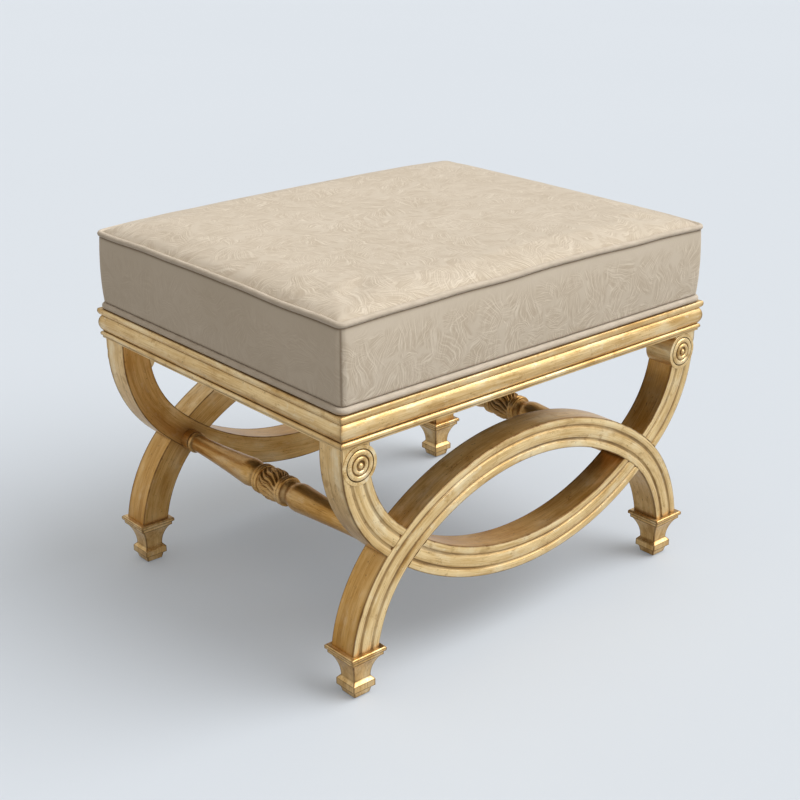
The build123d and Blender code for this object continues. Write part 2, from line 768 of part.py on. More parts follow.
    bore = piping_cord_diameter + cushion_gap
    pieces["top_piping"] = piping(top_path_inset, top_piping_z, top_piping_diameter, bore)
    pieces["top_piping_cord"] = piping(top_path_inset, top_piping_z, piping_cord_diameter, 0)
    pieces["bottom_piping"] = piping(bottom_path_inset, bottom_piping_z, bottom_piping_diameter, bore)
    pieces["bottom_piping_cord"] = piping(bottom_path_inset, bottom_piping_z, piping_cord_diameter, 0)
    return pieces


os.makedirs("parts", exist_ok=True)
for name, piece in build().items():
    piece.label = name
    export_step(piece, f"parts/{name}.step")
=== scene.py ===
import contextlib
import json
import math

import bmesh
import bpy
import numpy as np
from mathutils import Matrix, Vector


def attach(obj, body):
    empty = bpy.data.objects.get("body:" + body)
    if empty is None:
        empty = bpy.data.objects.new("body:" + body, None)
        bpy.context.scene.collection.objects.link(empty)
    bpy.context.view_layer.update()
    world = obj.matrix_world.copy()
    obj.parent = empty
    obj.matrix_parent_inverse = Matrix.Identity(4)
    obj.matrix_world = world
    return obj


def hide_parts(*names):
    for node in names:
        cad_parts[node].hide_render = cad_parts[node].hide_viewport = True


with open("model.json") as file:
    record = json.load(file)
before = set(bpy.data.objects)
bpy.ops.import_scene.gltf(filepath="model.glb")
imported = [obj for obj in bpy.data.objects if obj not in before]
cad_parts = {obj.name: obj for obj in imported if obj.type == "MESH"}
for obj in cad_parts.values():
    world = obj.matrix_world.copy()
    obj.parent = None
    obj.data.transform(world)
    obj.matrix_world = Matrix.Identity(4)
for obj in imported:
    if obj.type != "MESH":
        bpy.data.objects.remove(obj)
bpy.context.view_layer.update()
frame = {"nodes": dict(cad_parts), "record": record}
scene = bpy.context.scene

# Sizes in millimetres, as in the part's source; meshes are written in metres
MM = 0.001

# Seat rail, from its underside up, then the insets of its mouldings
RAIL_WIDTH, RAIL_DEPTH, RAIL_THICK = 612.0, 498.0, 48.0
RAIL_BOTTOM = 325.0
FILLET_TOP = RAIL_BOTTOM + 3.0
BEAD_TOP = FILLET_TOP + 6.0
TORUS_TOP = BEAD_TOP + 22.0
RAIL_TOP = TORUS_TOP + 9.0
CAP_LIP, CAP_RETURN, CAP_CREST = 1.0, 3.0, 3.0
TORUS_QUIRK, TORUS_SETBACK, TORUS_FOOT, TORUS_CREST = 4.5, 0.4, 4.9, 9.9
BEAD_QUIRK, BEAD_SETBACK, BEAD_RETURN, FILLET_SETBACK = 5.2, 1.5, 2.8, 3.6
MITRE_SHADE = 2.5

# End frames: three rounded bands between grooves, swept along three-centred curves
FRAME_SETBACK, FRAME_DEPTH = 6.5, 40.0
FRAME_FACE = RAIL_DEPTH / 2 - FRAME_SETBACK
FRAME_MIDDLE = FRAME_FACE - FRAME_DEPTH / 2
FRAME_INNER = FRAME_FACE - FRAME_DEPTH
BAND, CENTRE_BAND, GROOVE, GROOVE_DEPTH, BAND_DROP = 39.0, 13.0, 4.0, 2.5, 0.9
BAND_ROUND = 0.9
HANGER_POST = 16.5
ARCH = {"half": 270.0, "rise": 213.0, "side": 182.5, "spring": 36.5}
HANGER = {
    "half": RAIL_WIDTH / 2 - FRAME_SETBACK - BAND / 2,
    "rise": 203.5,
    "side": 152.5,
    "spring": RAIL_BOTTOM - HANGER_POST,
}
LAP_GAP, LAP_REACH, LAP_GLUE = 0.06, 3.0, 0.1

# Scroll eye, just inside the band's side, with its recess
EYE_RADIUS, EYE_SHY, EYE_PROUD, EYE_BACK, EYE_RIM = 24.5, 0.5, 1.0, 0.15, 5.0
EYE_X = HANGER["half"] + BAND / 2 - EYE_RADIUS
EYE_Z = RAIL_BOTTOM - EYE_RADIUS
WELL_DEPTH, WELL_CUT = 2.5, 6.0

# Square foot above its glide: half widths and levels from the glide up
GLIDE = 1.5
FOOT_HALF = {
    "toe": 11.5, "base": 13.5, "block": 16.5, "neck": 12.5, "cove": 22.0, "step": 23.5, "collar": 26.0,
}
FOOT_LEVEL = {"base": 9.0, "block": 17.5, "neck": 22.0, "cove": 51.0, "step": 56.5, "collar": 61.5}
COVE_HALF, COVE_LEVEL, COLLAR_BEVEL = 15.4, 38.7, (1.3, 1.2)
FOOT_TOP = GLIDE + FOOT_LEVEL["collar"]
FOOT_X = ARCH["half"] - ARCH["side"] + math.sqrt(ARCH["side"] ** 2 - (FOOT_TOP - ARCH["spring"]) ** 2)

# Stretchers, on an axis a little below the crossings: knop, two rings, cove, belly, neck and drum
CROSSING_X, STRETCHER_Z = 206.0, 167.3
KNOP_MIDDLE, KNOP_HALF, KNOP_END, KNOP_RADIUS = 8.0, 19.0, 17.2, 21.2
KNOP_REEDS, REED_DEPTH, VEIN_DEPTH, REED_LEAN = 16, 2.7, 0.7, 0.55
RING_WIDTH, RING_RADIUS, RING_VALLEY, RING_FOOT = 5.0, 19.8, 16.0, 16.4
COVE_WIDTH, COVE_RADIUS, COVE_END = 8.0, 13.8, 14.2
BELLY_AT, BELLY_RADIUS, BELLY_START, SHOULDER_AT, SHOULDER_RADIUS = 37.0, 18.3, 14.6, 25.0, 17.3
TAPER_RADIUS, NECK_RADIUS, NECK_LENGTH = 14.3, 11.5, 12.0
BUTT_RING, BUTT_RING_WIDTH, DRUM_RADIUS, DRUM_LENGTH, DRUM_SINK = 14.5, 7.0, 14.0, 13.0, 0.6

# Cushion, from the rail up: lower piping, boxing, upper piping; pipings are set in from its size
CUSHION_SETBACK, CUSHION_CORNER = 5.0, 7.0
CUSHION_WIDTH, CUSHION_DEPTH = RAIL_WIDTH - 2 * CUSHION_SETBACK, RAIL_DEPTH - 2 * CUSHION_SETBACK
LOW_PIPING_R, LOW_INSET = 4.25, 1.75
LOW_PIPING_Z = RAIL_TOP + LOW_PIPING_R
BOXING_LOW = RAIL_TOP + 2 * LOW_PIPING_R
BOXING_HIGH = BOXING_LOW + 87.5
TOP_PIPING_R, TOP_INSET = 3.5, 2.5
TOP_PIPING_Z = BOXING_HIGH + 4.0
BOARD_TOP = RAIL_TOP + 12.0
# Heights of the stitch lines under the top piping and over the lower one, where the boxing takes painted
# shade
LOW_STITCH, TOP_STITCH = 374.3, 461.2
BOXING_ROWS = (
    TOP_PIPING_Z, 462.2, TOP_STITCH, 460.3, 459.4, 457.5, 454.0, 449.0, 442.0, 434.0, 426.0, 418.0,
    410.0, 402.0, 394.0, 387.0, 381.5, 378.0, 376.2, 375.2, LOW_STITCH, 373.2, 371.5, LOW_PIPING_Z,
)
EDGE_GAPS = (0.0, 0.7, 1.6, 2.9, 4.5, 7.0, 10.0, 14.0, 19.0, 25.0)
GRID_STEP, SWELL_CAP, SWELL_STEPS = 6.5, 1.8, 20

# The boxing's pattern lies past this many metres in the cloth layer, clear of the top's
BOXING_SHIFT = 2.0

# Radius that stands for a turned piece's axis
AXIS = 0.05


# Materials
class Nodes:
    """Short hand for building the node tree of a material or of the world."""

    def __init__(self, name, world=False):
        self.data = (bpy.data.worlds if world else bpy.data.materials).new(name)
        self.data.use_nodes = True
        self.tree = self.data.node_tree
        self.tree.nodes.clear()
        self.output = self.tree.nodes.new(f"ShaderNodeOutput{'World' if world else 'Material'}")

    def put(self, socket, value):
        if isinstance(value, bpy.types.NodeSocket):
            self.tree.links.new(value, socket)
        elif value is not None:
            socket.default_value = value

    def add(self, kind, inputs=None, out=0, **settings):
        node = self.tree.nodes.new(kind)
        for key, value in settings.items():
            setattr(node, key, value)
        for key, value in (inputs or {}).items():
            self.put(node.inputs[key], value)
        return node.outputs[out]

    def math(self, operation, a, b=0.5):
        return self.add("ShaderNodeMath", {0: a, 1: b}, operation=operation)

    def times(self, a, b):
        return self.math("MULTIPLY", a, b)

    def plus(self, a, b):
        return self.math("ADD", a, b)

    def minus(self, a, b):
        return self.math("SUBTRACT", a, b)

    def larger(self, a, b):
        return self.math("MAXIMUM", a, b)

    def vector(self, operation, a, b=(0, 0, 0), out=0):
        second = 3 if operation == "SCALE" else 1
        return self.add("ShaderNodeVectorMath", {0: a, second: b}, out, operation=operation)

    def attribute(self, name):
        return self.add("ShaderNodeAttribute", out=1, attribute_name=name)

    def place(self):
        """Object coordinates."""
        return self.add("ShaderNodeTexCoord", out=3)

    def split(self, vector):
        node = self.tree.nodes.new("ShaderNodeSeparateXYZ")
        self.put(node.inputs[0], vector)
        return node.outputs

    def join(self, x=0.0, y=0.0, z=0.0):
        return self.add("ShaderNodeCombineXYZ", {0: x, 1: y, 2: z})

    def noise(self, vector, scale, detail, rough, out=0):
        inputs = {"Vector": vector, "Scale": scale, "Detail": detail, "Roughness": rough}
        return self.add("ShaderNodeTexNoise", inputs, out)

    def streaks(self, vector, lines, detail, rough):
        """Noise with its own number of lines a metre along each axis."""
        return self.noise(self.vector("MULTIPLY", vector, lines), 1.0, detail, rough)

    def ramp(self, value, low, high, to_low=0.0, to_high=1.0):
        inputs = {"Value": value, "From Min": low, "From Max": high, "To Min": to_low, "To Max": to_high}
        return self.add("ShaderNodeMapRange", inputs, interpolation_type="SMOOTHSTEP")

    def blend(self, factor, a, b):
        a, b = ((*color, 1) if isinstance(color, tuple) else color for color in (a, b))
        return self.add("ShaderNodeMix", {0: factor, 6: a, 7: b}, 2, data_type="RGBA")

    def bump(self, height, strength, distance, normal=None):
        inputs = {"Height": height, "Strength": strength, "Distance": distance, "Normal": normal}
        return self.add("ShaderNodeBump", inputs)

    def shown(self):
        """One for the rays that show a surface to the camera: straight, reflected or through glass."""
        path = self.tree.nodes.new("ShaderNodeLightPath").outputs
        seen = self.larger(path["Is Camera Ray"], path["Is Glossy Ray"])
        return self.larger(seen, path["Is Transmission Ray"])

    def finish(self, color, rough, normal=None, **constants):
        shader = self.tree.nodes.new("ShaderNodeBsdfPrincipled")
        self.put(shader.inputs["Base Color"], color)
        self.put(shader.inputs["Roughness"], rough)
        self.put(shader.inputs["Normal"], normal)
        for key, value in constants.items():
            self.put(shader.inputs[key.replace("_", " ")], value)
        self.tree.links.new(shader.outputs[0], self.output.inputs[0])
        return self.data


def gilded_wood():
    """Pale gold over a dark ground: streaks along each member, dark crevices, rubbed edges, flecks; browned
    sides that are partly painted shade, and painted shade from ambient occlusion in corners.
    """
    n = Nodes("gilded_wood")
    deep_gold, pale_gold = (0.64, 0.4, 0.14), (0.96, 0.735, 0.39)
    thin_gold, bright_gold = (0.44, 0.24, 0.06), (1.0, 0.86, 0.57)
    dull_spot, bright_spot = (0.4, 0.215, 0.055), (1.0, 0.91, 0.67)
    # Colours of the browned sides: a real staining, and painted shade where the sides face away from the
    # lamps or lie under the seat
    deep_stain_shade, pale_stain_shade = (0.39, 0.165, 0.018), (0.64, 0.325, 0.06)
    bare_arris, grime_and_shade_color = (0.14, 0.06, 0.016), (0.13, 0.062, 0.018)
    dark_speck, dark_scratch = (0.15, 0.075, 0.025), (0.22, 0.115, 0.038)
    grain = n.attribute("grain")
    # Channels of the mesh layer: rubbed edges; dark patina in crevices, with painted shade on the back
    # faces round the stretchers; and how browned the sides are, partly staining and partly painted shade
    edge, crevice, side_stain_and_shade = n.split(n.attribute("wear_and_shade"))
    fine = n.streaks(grain, (22, 620, 620), 5.0, 0.65)
    broad = n.streaks(grain, (9, 95, 95), 3.0, 0.55)
    patch = n.streaks(grain, (16, 40, 40), 4.0, 0.6)
    mottle = n.streaks(grain, (48, 70, 70), 5.0, 0.68)
    fleck = n.streaks(grain, (240, 480, 480), 2.0, 0.5)
    streak = n.plus(n.times(fine, 0.55), n.times(broad, 0.45))
    color = n.blend(n.ramp(streak, 0.32, 0.66), deep_gold, pale_gold)
    color = n.blend(n.ramp(patch, 0.5, 0.72, 0.0, 0.65), color, bright_gold)
    color = n.blend(n.ramp(patch, 0.47, 0.26, 0.0, 0.6), color, thin_gold)
    color = n.blend(n.ramp(mottle, 0.46, 0.3, 0.0, 0.55), color, dull_spot)
    color = n.blend(n.ramp(mottle, 0.58, 0.7, 0.0, 0.45), color, bright_spot)
    # Staining and painted shade: the sides are browned by their share
    stained_and_shaded = n.times(side_stain_and_shade, n.ramp(patch, 0.3, 0.7, 1.0, 0.72))
    color = n.blend(stained_and_shaded, color, n.blend(n.ramp(streak, 0.3, 0.7), deep_stain_shade, pale_stain_shade))
    rubbed = n.times(n.ramp(edge, 0.25, 0.8), n.ramp(mottle, 0.36, 0.56, 1.0, 0.65))
    color = n.blend(n.times(rubbed, 0.9), color, bare_arris)
    # Painted shade: ambient occlusion darkens the colour where corners and crevices are in shade, joined
    # with the dark patina that settles in the grooves
    occlusion = n.add("ShaderNodeAmbientOcclusion", {"Distance": 0.007}, out=1, samples=6)
    hollow = n.ramp(occlusion, 0.72, 0.3)
    settled = n.times(crevice, n.ramp(broad, 0.34, 0.62, 1.0, 0.55))
    grime_and_painted_shade = n.times(n.larger(settled, hollow), n.ramp(fine, 0.25, 0.6, 0.6, 1.0))
    color = n.blend(n.times(grime_and_painted_shade, 0.8), color, grime_and_shade_color)
    specks = n.times(n.ramp(fleck, 0.66, 0.72), n.ramp(mottle, 0.58, 0.42, 0.2, 1.0))
    color = n.blend(n.times(specks, 0.65), color, dark_speck)
    scratch = n.times(n.ramp(fine, 0.4, 0.3), n.ramp(mottle, 0.55, 0.42, 0.25, 1.0))
    color = n.blend(n.times(scratch, 0.42), color, dark_scratch)
    rough = n.ramp(n.plus(streak, n.times(grime_and_painted_shade, 0.6)), 0.3, 1.0, 0.27, 0.56)
    relief = n.minus(n.times(fine, 0.6), n.times(specks, 0.5))
    normal = n.bump(relief, 0.28, 0.0005, n.bump(n.plus(broad, mottle), 0.25, 0.0016))
    return n.finish(color, rough, normal, Metallic=0.66, Specular_IOR_Level=0.25)


def plumes(n, place, scale, shift):
    """One layer of wispy tufts: strokes that fan out from a point beside each cell's middle."""
    moved = n.vector("ADD", place, shift)
    cells = n.tree.nodes.new("ShaderNodeTexVoronoi")
    borders = n.tree.nodes.new("ShaderNodeTexVoronoi")
    borders.feature = "DISTANCE_TO_EDGE"
    for voronoi in (cells, borders):
        voronoi.voronoi_dimensions = "2D"
        n.put(voronoi.inputs["Vector"], moved)
        n.put(voronoi.inputs["Scale"], scale)
    local = n.vector("SUBTRACT", moved, cells.outputs["Position"])
    turn = n.times(n.split(cells.outputs["Color"])[0], 6.283)
    spun = n.add("ShaderNodeVectorRotate", {"Vector": local, "Angle": turn}, rotation_type="Z_AXIS")
    x, y, _ = n.split(spun)
    x = n.plus(x, 0.7 / scale)
    y = n.minus(y, n.times(n.times(x, x), 0.45 * scale))
    radius = n.times(n.vector("LENGTH", n.join(x, y), out=1), scale)
    sway = n.minus(n.noise(moved, scale * 2.0, 1.0, 0.5), 0.5)
    angle = n.plus(n.math("ARCTAN2", y, x), n.times(sway, 0.42))
    strokes = n.noise(n.join(n.times(radius, 1.5), n.times(angle, 25.0), turn), 1.0, 3.0, 0.62)
    ragged = n.minus(strokes, 0.5)
    away = n.plus(n.math("ABSOLUTE", n.minus(radius, 0.72)), n.times(ragged, 0.9))
    border = n.plus(borders.outputs["Distance"], n.times(ragged, 0.25))
    mask = n.times(n.ramp(away, 0.62, 0.34), n.ramp(n.math("ABSOLUTE", angle), 0.85, 0.5))
    return strokes, n.times(mask, n.ramp(border, 0.0, 0.12))


def patterned_cloth():
    """Close-woven beige cloth with a tone-on-tone design of wispy tufts.

    The design fades under the top seam and is weaker on the left boxing, where it stands in for that side's
    shade; the seams take painted shade."""
    n = Nodes("upholstery")
    beige, pale_beige = (0.645, 0.57, 0.46), (0.685, 0.61, 0.5)
    dark_stroke, light_stroke = (0.44, 0.345, 0.235), (0.88, 0.81, 0.69)
    yarn_shade, seam_shade = (0.42, 0.34, 0.25), (0.17, 0.11, 0.065)
    layers = ((17.0, (0.0, 0.0, 0.0)), (23.0, (0.37, 0.21, 0.0)), (30.0, (0.83, 0.55, 0.0)))
    yarn_turn = 2 * math.pi / 0.0011
    x, y, seam = n.split(n.attribute("cloth"))
    flat = n.join(x, y)
    warp = n.noise(flat, 14.0, 2.0, 0.5, out=1)
    drift = n.vector("SCALE", n.vector("SUBTRACT", warp, (0.5, 0.5, 0.5)), 0.01)
    moved = n.vector("ADD", flat, drift)
    light, dark = 0.0, 0.0
    for scale, shift in layers:
        strokes, mask = plumes(n, moved, scale, shift)
        light = n.larger(light, n.times(n.ramp(strokes, 0.5, 0.64), mask))
        dark = n.larger(dark, n.times(n.ramp(strokes, 0.56, 0.38, 0.25, 1.0), mask))
    strength = n.times(n.ramp(y, BOXING_SHIFT + 0.455, BOXING_SHIFT + 0.438, 0.1, 1.0), 1.1)
    # Weaker design on the left boxing: stands in for the shade on that side, which flattens the design
    strength = n.times(strength, n.ramp(x, 1.66, 1.68, 1.0, 0.4))
    color = n.blend(n.ramp(n.noise(flat, 9.0, 3.0, 0.5), 0.3, 0.7), beige, pale_beige)
    color = n.blend(n.times(n.times(dark, strength), 0.42), color, dark_stroke)
    color = n.blend(n.times(n.times(light, strength), 0.5), color, light_stroke)
    weave = n.times(n.math("SINE", n.times(x, yarn_turn)), n.math("SINE", n.times(y, yarn_turn)))
    yarn = n.plus(n.times(weave, 0.35), n.streaks(flat, (900, 220, 900), 2.0, 0.5))
    color = n.blend(n.ramp(yarn, 0.1, 0.9, 0.0, 0.14), color, yarn_shade)
    # Painted shade along the seams: in their creases and under the pipings
    color = n.blend(n.times(seam, 0.72), color, seam_shade)
    relief = n.times(n.minus(light, dark), strength)
    normal = n.bump(n.plus(n.times(relief, 0.3), n.times(yarn, 0.35)), 0.22, 0.0006)
    return n.finish(
        color, 0.86, normal, Sheen_Weight=0.3, Sheen_Roughness=0.4, Sheen_Tint=(1.0, 0.99, 0.97, 1),
        Specular_IOR_Level=0.25,
    )


def piping_cloth():
    """The same cloth cut on the bias round a cord, with the fine diagonal of its weave."""
    n = Nodes("piping_cloth")
    x, y, _ = n.split(n.attribute("cloth"))
    diagonal = n.math("SINE", n.times(n.plus(x, n.times(y, 1.6)), 2 * math.pi / 0.0013))
    patch = n.streaks(n.join(x, y), (60, 60, 60), 3.0, 0.55)
    color = n.blend(n.ramp(patch, 0.3, 0.7), (0.6, 0.525, 0.42), (0.68, 0.6, 0.495))
    color = n.blend(n.ramp(diagonal, -1.0, 1.0, 0.0, 0.14), color, (0.4, 0.32, 0.235))
    normal = n.bump(n.plus(n.times(diagonal, 0.4), patch), 0.3, 0.0005)
    return n.finish(color, 0.85, normal, Sheen_Weight=0.2, Sheen_Roughness=0.45, Specular_IOR_Level=0.25)


def raw_wood(name, light, deep, lines):
    """Bare wood with straight grain, by its lines a metre along each axis."""
    n = Nodes(name)
    place = n.place()
    rings = n.streaks(place, lines, 4.0, 0.6)
    pores = n.streaks(place, tuple(4 * v for v in lines), 2.0, 0.6)
    color = n.blend(n.ramp(rings, 0.32, 0.68), deep, light)
    color = n.blend(n.ramp(pores, 0.62, 0.72, 0.0, 0.45), color, tuple(0.5 * v for v in deep))
    return n.finish(color, n.ramp(rings, 0.2, 0.8, 0.58, 0.75), n.bump(pores, 0.2, 0.0004))


def dust_cloth():
    """Black spun cloth under the seat."""
    n = Nodes("dust_cloth")
    fibre = n.streaks(n.place(), (900, 500, 500), 3.0, 0.6)
    color = n.blend(fibre, (0.012, 0.012, 0.013), (0.045, 0.044, 0.043))
    return n.finish(color, 0.92, n.bump(fibre, 0.35, 0.0004), Specular_IOR_Level=0.2)


def plated_steel():
    """Zinc-plated screw steel with turned lines."""
    n = Nodes("steel")
    lines = n.streaks(n.place(), (400, 400, 1600), 3.0, 0.6)
    color = n.blend(lines, (0.42, 0.41, 0.38), (0.62, 0.61, 0.57))
    return n.finish(color, n.ramp(lines, 0.2, 0.8, 0.28, 0.46), n.bump(lines, 0.15, 0.0002), Metallic=1.0)


def glide_nylon():
    """Brown nylon, scuffed where it slides."""
    n = Nodes("glide_nylon")
    scuff = n.streaks(n.place(), (700, 120, 300), 4.0, 0.65)
    color = n.blend(n.ramp(scuff, 0.45, 0.7), (0.16, 0.115, 0.075), (0.27, 0.21, 0.15))
    return n.finish(color, n.ramp(scuff, 0.3, 0.8, 0.42, 0.65), n.bump(scuff, 0.2, 0.0002))


GILT = gilded_wood()
CLOTH = patterned_cloth()
PIPING_CLOTH = piping_cloth()


# Mesh tools
@contextlib.contextmanager
def editing(mesh):
    """Open a mesh for changes, then write them back."""
    work = bmesh.new()
    work.from_mesh(mesh)
    yield work
    work.to_mesh(mesh)
    work.free()


def new_mesh(name, points, faces, material, layers, sharp=32.0):
    """Mesh object in metres from points in millimetres, with per-corner attribute layers."""
    mesh = bpy.data.meshes.new(name)
    mesh.from_pydata((np.asarray(points) * MM).tolist(), [], faces)
    corners = np.empty(len(mesh.loops), dtype=np.int32)
    mesh.loops.foreach_get("vertex_index", corners)
    for key, values in layers.items():
        values = np.asarray(values, dtype=np.float32)
        if len(values) == len(points):
            values = values[corners]
        layer = mesh.attributes.new(key, "FLOAT_VECTOR", "CORNER")
        layer.data.foreach_set("vector", values.reshape(-1))
    with editing(mesh) as work:
        bmesh.ops.recalc_face_normals(work, faces=work.faces)
    mesh.materials.append(material)
    piece = bpy.data.objects.new(name, mesh)
    scene.collection.objects.link(piece)
    resharpen(piece, sharp)
    return piece


def resharpen(piece, angle=32.0):
    """Smooth shading with sharp arrises."""
    piece.data.shade_smooth()
    piece.data.set_sharp_from_angle(angle=math.radians(angle))


def settle(piece, slot, *nodes):
    """Put a finished piece on the stool in place of its CAD nodes."""
    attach(piece, "root")
    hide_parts(*nodes)


def skin(name, items, count, sharp=32.0):
    """Gilded mesh through rows of so many (point, grain place, rubbing and painted shade), closed round and
    capped.
    """
    points, grain, wear_and_shade = zip(*items)
    last = len(points) - count
    faces = []
    for i in range(0, last, count):
        for j in range(count):
            k = (j + 1) % count
            faces.append((i + j, i + k, i + count + k, i + count + j))
    faces += [tuple(reversed(range(count))), tuple(range(last, last + count))]
    return new_mesh(name, points, faces, GILT, {"grain": np.asarray(grain) * MM, "wear_and_shade": wear_and_shade}, sharp)


def arc3(start, middle, end, count):
    """Points of the circle through three points, from start to end."""
    (ax, ay), (bx, by), (cx, cy) = start, middle, end
    d = 2 * (ax * (by - cy) + bx * (cy - ay) + cx * (ay - by))
    a2, b2, c2 = ax**2 + ay**2, bx**2 + by**2, cx**2 + cy**2
    ux = (a2 * (by - cy) + b2 * (cy - ay) + c2 * (ay - by)) / d
    uy = (a2 * (cx - bx) + b2 * (ax - cx) + c2 * (bx - ax)) / d
    first = math.atan2(ay - uy, ax - ux)
    middle_turn = (math.atan2(by - uy, bx - ux) - first) % (2 * math.pi)
    turn = (math.atan2(cy - uy, cx - ux) - first) % (2 * math.pi)
    if middle_turn > turn:
        turn -= 2 * math.pi
    radius = math.hypot(ax - ux, ay - uy)
    angles = [first + turn * i / count for i in range(count + 1)]
    return [(ux + radius * math.cos(t), uy + radius * math.sin(t)) for t in angles]


def soften(points, radius, closed=True, limit=20.0):
    """Replace each sharp corner of an outline by a small round."""
    out = []
    count = len(points)
    for i, point in enumerate(points):
        if not closed and i in (0, count - 1):
            out.append(point)
            continue
        before, after = points[i - 1], points[(i + 1) % count]
        ins = (point[0] - before[0], point[1] - before[1])
        outs = (after[0] - point[0], after[1] - point[1])
        in_length, out_length = math.hypot(*ins), math.hypot(*outs)
        turn = math.atan2(ins[0] * outs[1] - ins[1] * outs[0], ins[0] * outs[0] + ins[1] * outs[1])
        if abs(turn) < math.radians(limit):
            out.append(point)
            continue
        size = min(radius, 0.45 * in_length, 0.45 * out_length)
        a = [point[k] - ins[k] / in_length * size for k in (0, 1)]
        b = [point[k] + outs[k] / out_length * size for k in (0, 1)]
        for t in (0.0, 0.33, 0.67, 1.0):
            u = 1 - t
            out.append(tuple(u**2 * a[k] + 2 * t * u * point[k] + t**2 * b[k] for k in (0, 1)))
    return out


def divide(points, closed=True, first=0.8, far=5.0):
    """Extra points on long straight runs, closer together beside the corners."""
    out = []
    count = len(points)
    for i in range(count if closed else count - 1):
        a, b = points[i], points[(i + 1) % count]
        length = math.hypot(b[0] - a[0], b[1] - a[1])
        places = [0.0]
        if length > 2.5 * first:
            step = first
            s = step
            while s < length / 2:
                places += [s, length - s]
                step = min(step * 1.6, far)
                s += step
        for s in sorted(places):
            t = s / length if length else 0
            out.append((a[0] + (b[0] - a[0]) * t, a[1] + (b[1] - a[1]) * t))
    if not closed:
        out.append(points[-1])
    return out


def masks(points, closed=True, edge_width=0.9, hollow_width=1.1):
    """How much each outline point is a rubbed outer edge, and how much a crevice.

    An open outline has its solid on the left."""
    full_turn = 0.9
    p = np.asarray(points, dtype=float)
    before = p - np.roll(p, 1, axis=0)
    after = np.roll(p, -1, axis=0) - p
    turn = np.arctan2(
        before[:, 0] * after[:, 1] - before[:, 1] * after[:, 0],
        (before * after).sum(axis=1),
    )
    lengths = np.hypot(after[:, 0], after[:, 1])
    if not closed:
        turn[0] = turn[-1] = 0
    elif (p[:, 0] * after[:, 1] - p[:, 1] * after[:, 0]).sum() < 0:
        turn = -turn
    along = np.concatenate([[0], np.cumsum(lengths)[:-1]])
    gap = np.abs(along[:, None] - along[None, :])
    if closed:
        gap = np.minimum(gap, lengths.sum() - gap)
    edge = (np.maximum(turn, 0)[None, :] * np.exp(-((gap / edge_width) ** 2))).sum(axis=1)
    hollow = (np.maximum(-turn, 0)[None, :] * np.exp(-((gap / hollow_width) ** 2))).sum(axis=1)
    return np.clip(edge / full_turn, 0, 1), np.clip(hollow / full_turn, 0, 1)


def near(distance, reach):
    """One at no distance, falling to nothing a little beyond the reach."""
    return math.exp(-((distance / reach) ** 2))


# End frames
def arch_stain_and_shade(z, v):
    """Brown of the arch's sides, partly staining and partly painted shade: on the legs deep outside and
    slight inside, nearer even above.
    """
    leg_height, climb = 90.0, 110.0
    height = min(max((z - leg_height) / climb, 0.0), 1.0)
    return 1.0 - 0.4 * height if v > 0 else 0.4 + 0.4 * height


def hanger_stain_and_shade(_, v):
    """Brown of the hanging arc's sides, partly staining and partly painted shade: slight outside, deep
    inside the curve.
    """
    return 0.3 if v > 0 else 0.85


def three_centred(shape, step=3.5):
    """Stations along a three-centred curve: points (x, z above springing), outward normals, lengths."""
    half, rise, side = shape["half"], shape["rise"], shape["side"]
    reach = half - side
    crown_radius = (reach**2 + rise**2 - side**2) / (2 * (rise - side))
    change = math.atan2(reach, crown_radius - rise)
    runs = (
        (-reach, 0.0, side, math.pi, math.pi / 2 + change),
        (0.0, rise - crown_radius, crown_radius, math.pi / 2 + change, math.pi / 2 - change),
        (reach, 0.0, side, math.pi / 2 - change, 0.0),
    )
    stations = []
    length = 0.0
    for cx, cz, radius, first, last in runs:
        count = max(4, round(abs(last - first) * radius / step))
        for i in range(1 if stations else 0, count + 1):
            t = first + (last - first) * i / count
            nx, nz = math.cos(t), math.sin(t)
            run = length + abs(t - first) * radius
            stations.append((cx + radius * nx, cz + radius * nz, nx, nz, run))
        length += abs(last - first) * radius
    return stations


def band_outline():
    """Section of a frame member, as across and depth behind its outer face: bands and grooves by turns."""
    half, inner = BAND / 2, CENTRE_BAND / 2
    outer = inner + GROOVE
    places = (half, outer, inner, -inner, -outer, -half)
    crests = (0.0, GROOVE_DEPTH, 0.0, GROOVE_DEPTH, 0.0)
    points = [(-half, FRAME_DEPTH), (half, FRAME_DEPTH), (half, BAND_DROP)]
    for a, b, crest, count in zip(places, places[1:], crests, (10, 8, 14, 8, 10)):
        points += arc3((a, BAND_DROP), ((a + b) / 2, crest), (b, BAND_DROP), count)[1:]
    return points


def band_wear_and_shade(place, gap, edge, hollow, stain_and_shade):
    """Rubbing, patina and painted shade at a place of a band (across, depth, height), by its distance from
    a crossing.
    """
    v, y, z = place
    on_side = abs(v) > BAND / 2 - 0.2
    at_back = y > FRAME_DEPTH - 0.2
    arris = edge if abs(v) > BAND / 2 - 2.0 else 0.0
    # On the sides a dark line of glaze behind the front arris, and their browning; on the back faces, which
    # look into the stool, painted shade: a browned face, darker round the stretcher's end
    if on_side:
        smudge_and_shade, brown = 0.95 * near(y - 2.0, 1.7), stain_and_shade(z, v)
    elif at_back:
        smudge_and_shade, brown = 0.55 * near(max(gap - DRUM_RADIUS, 0.0), 16.0), 0.75
    else:
        smudge_and_shade, brown = 0.0, 0.0
    return arris, max(hollow, smudge_and_shade), brown


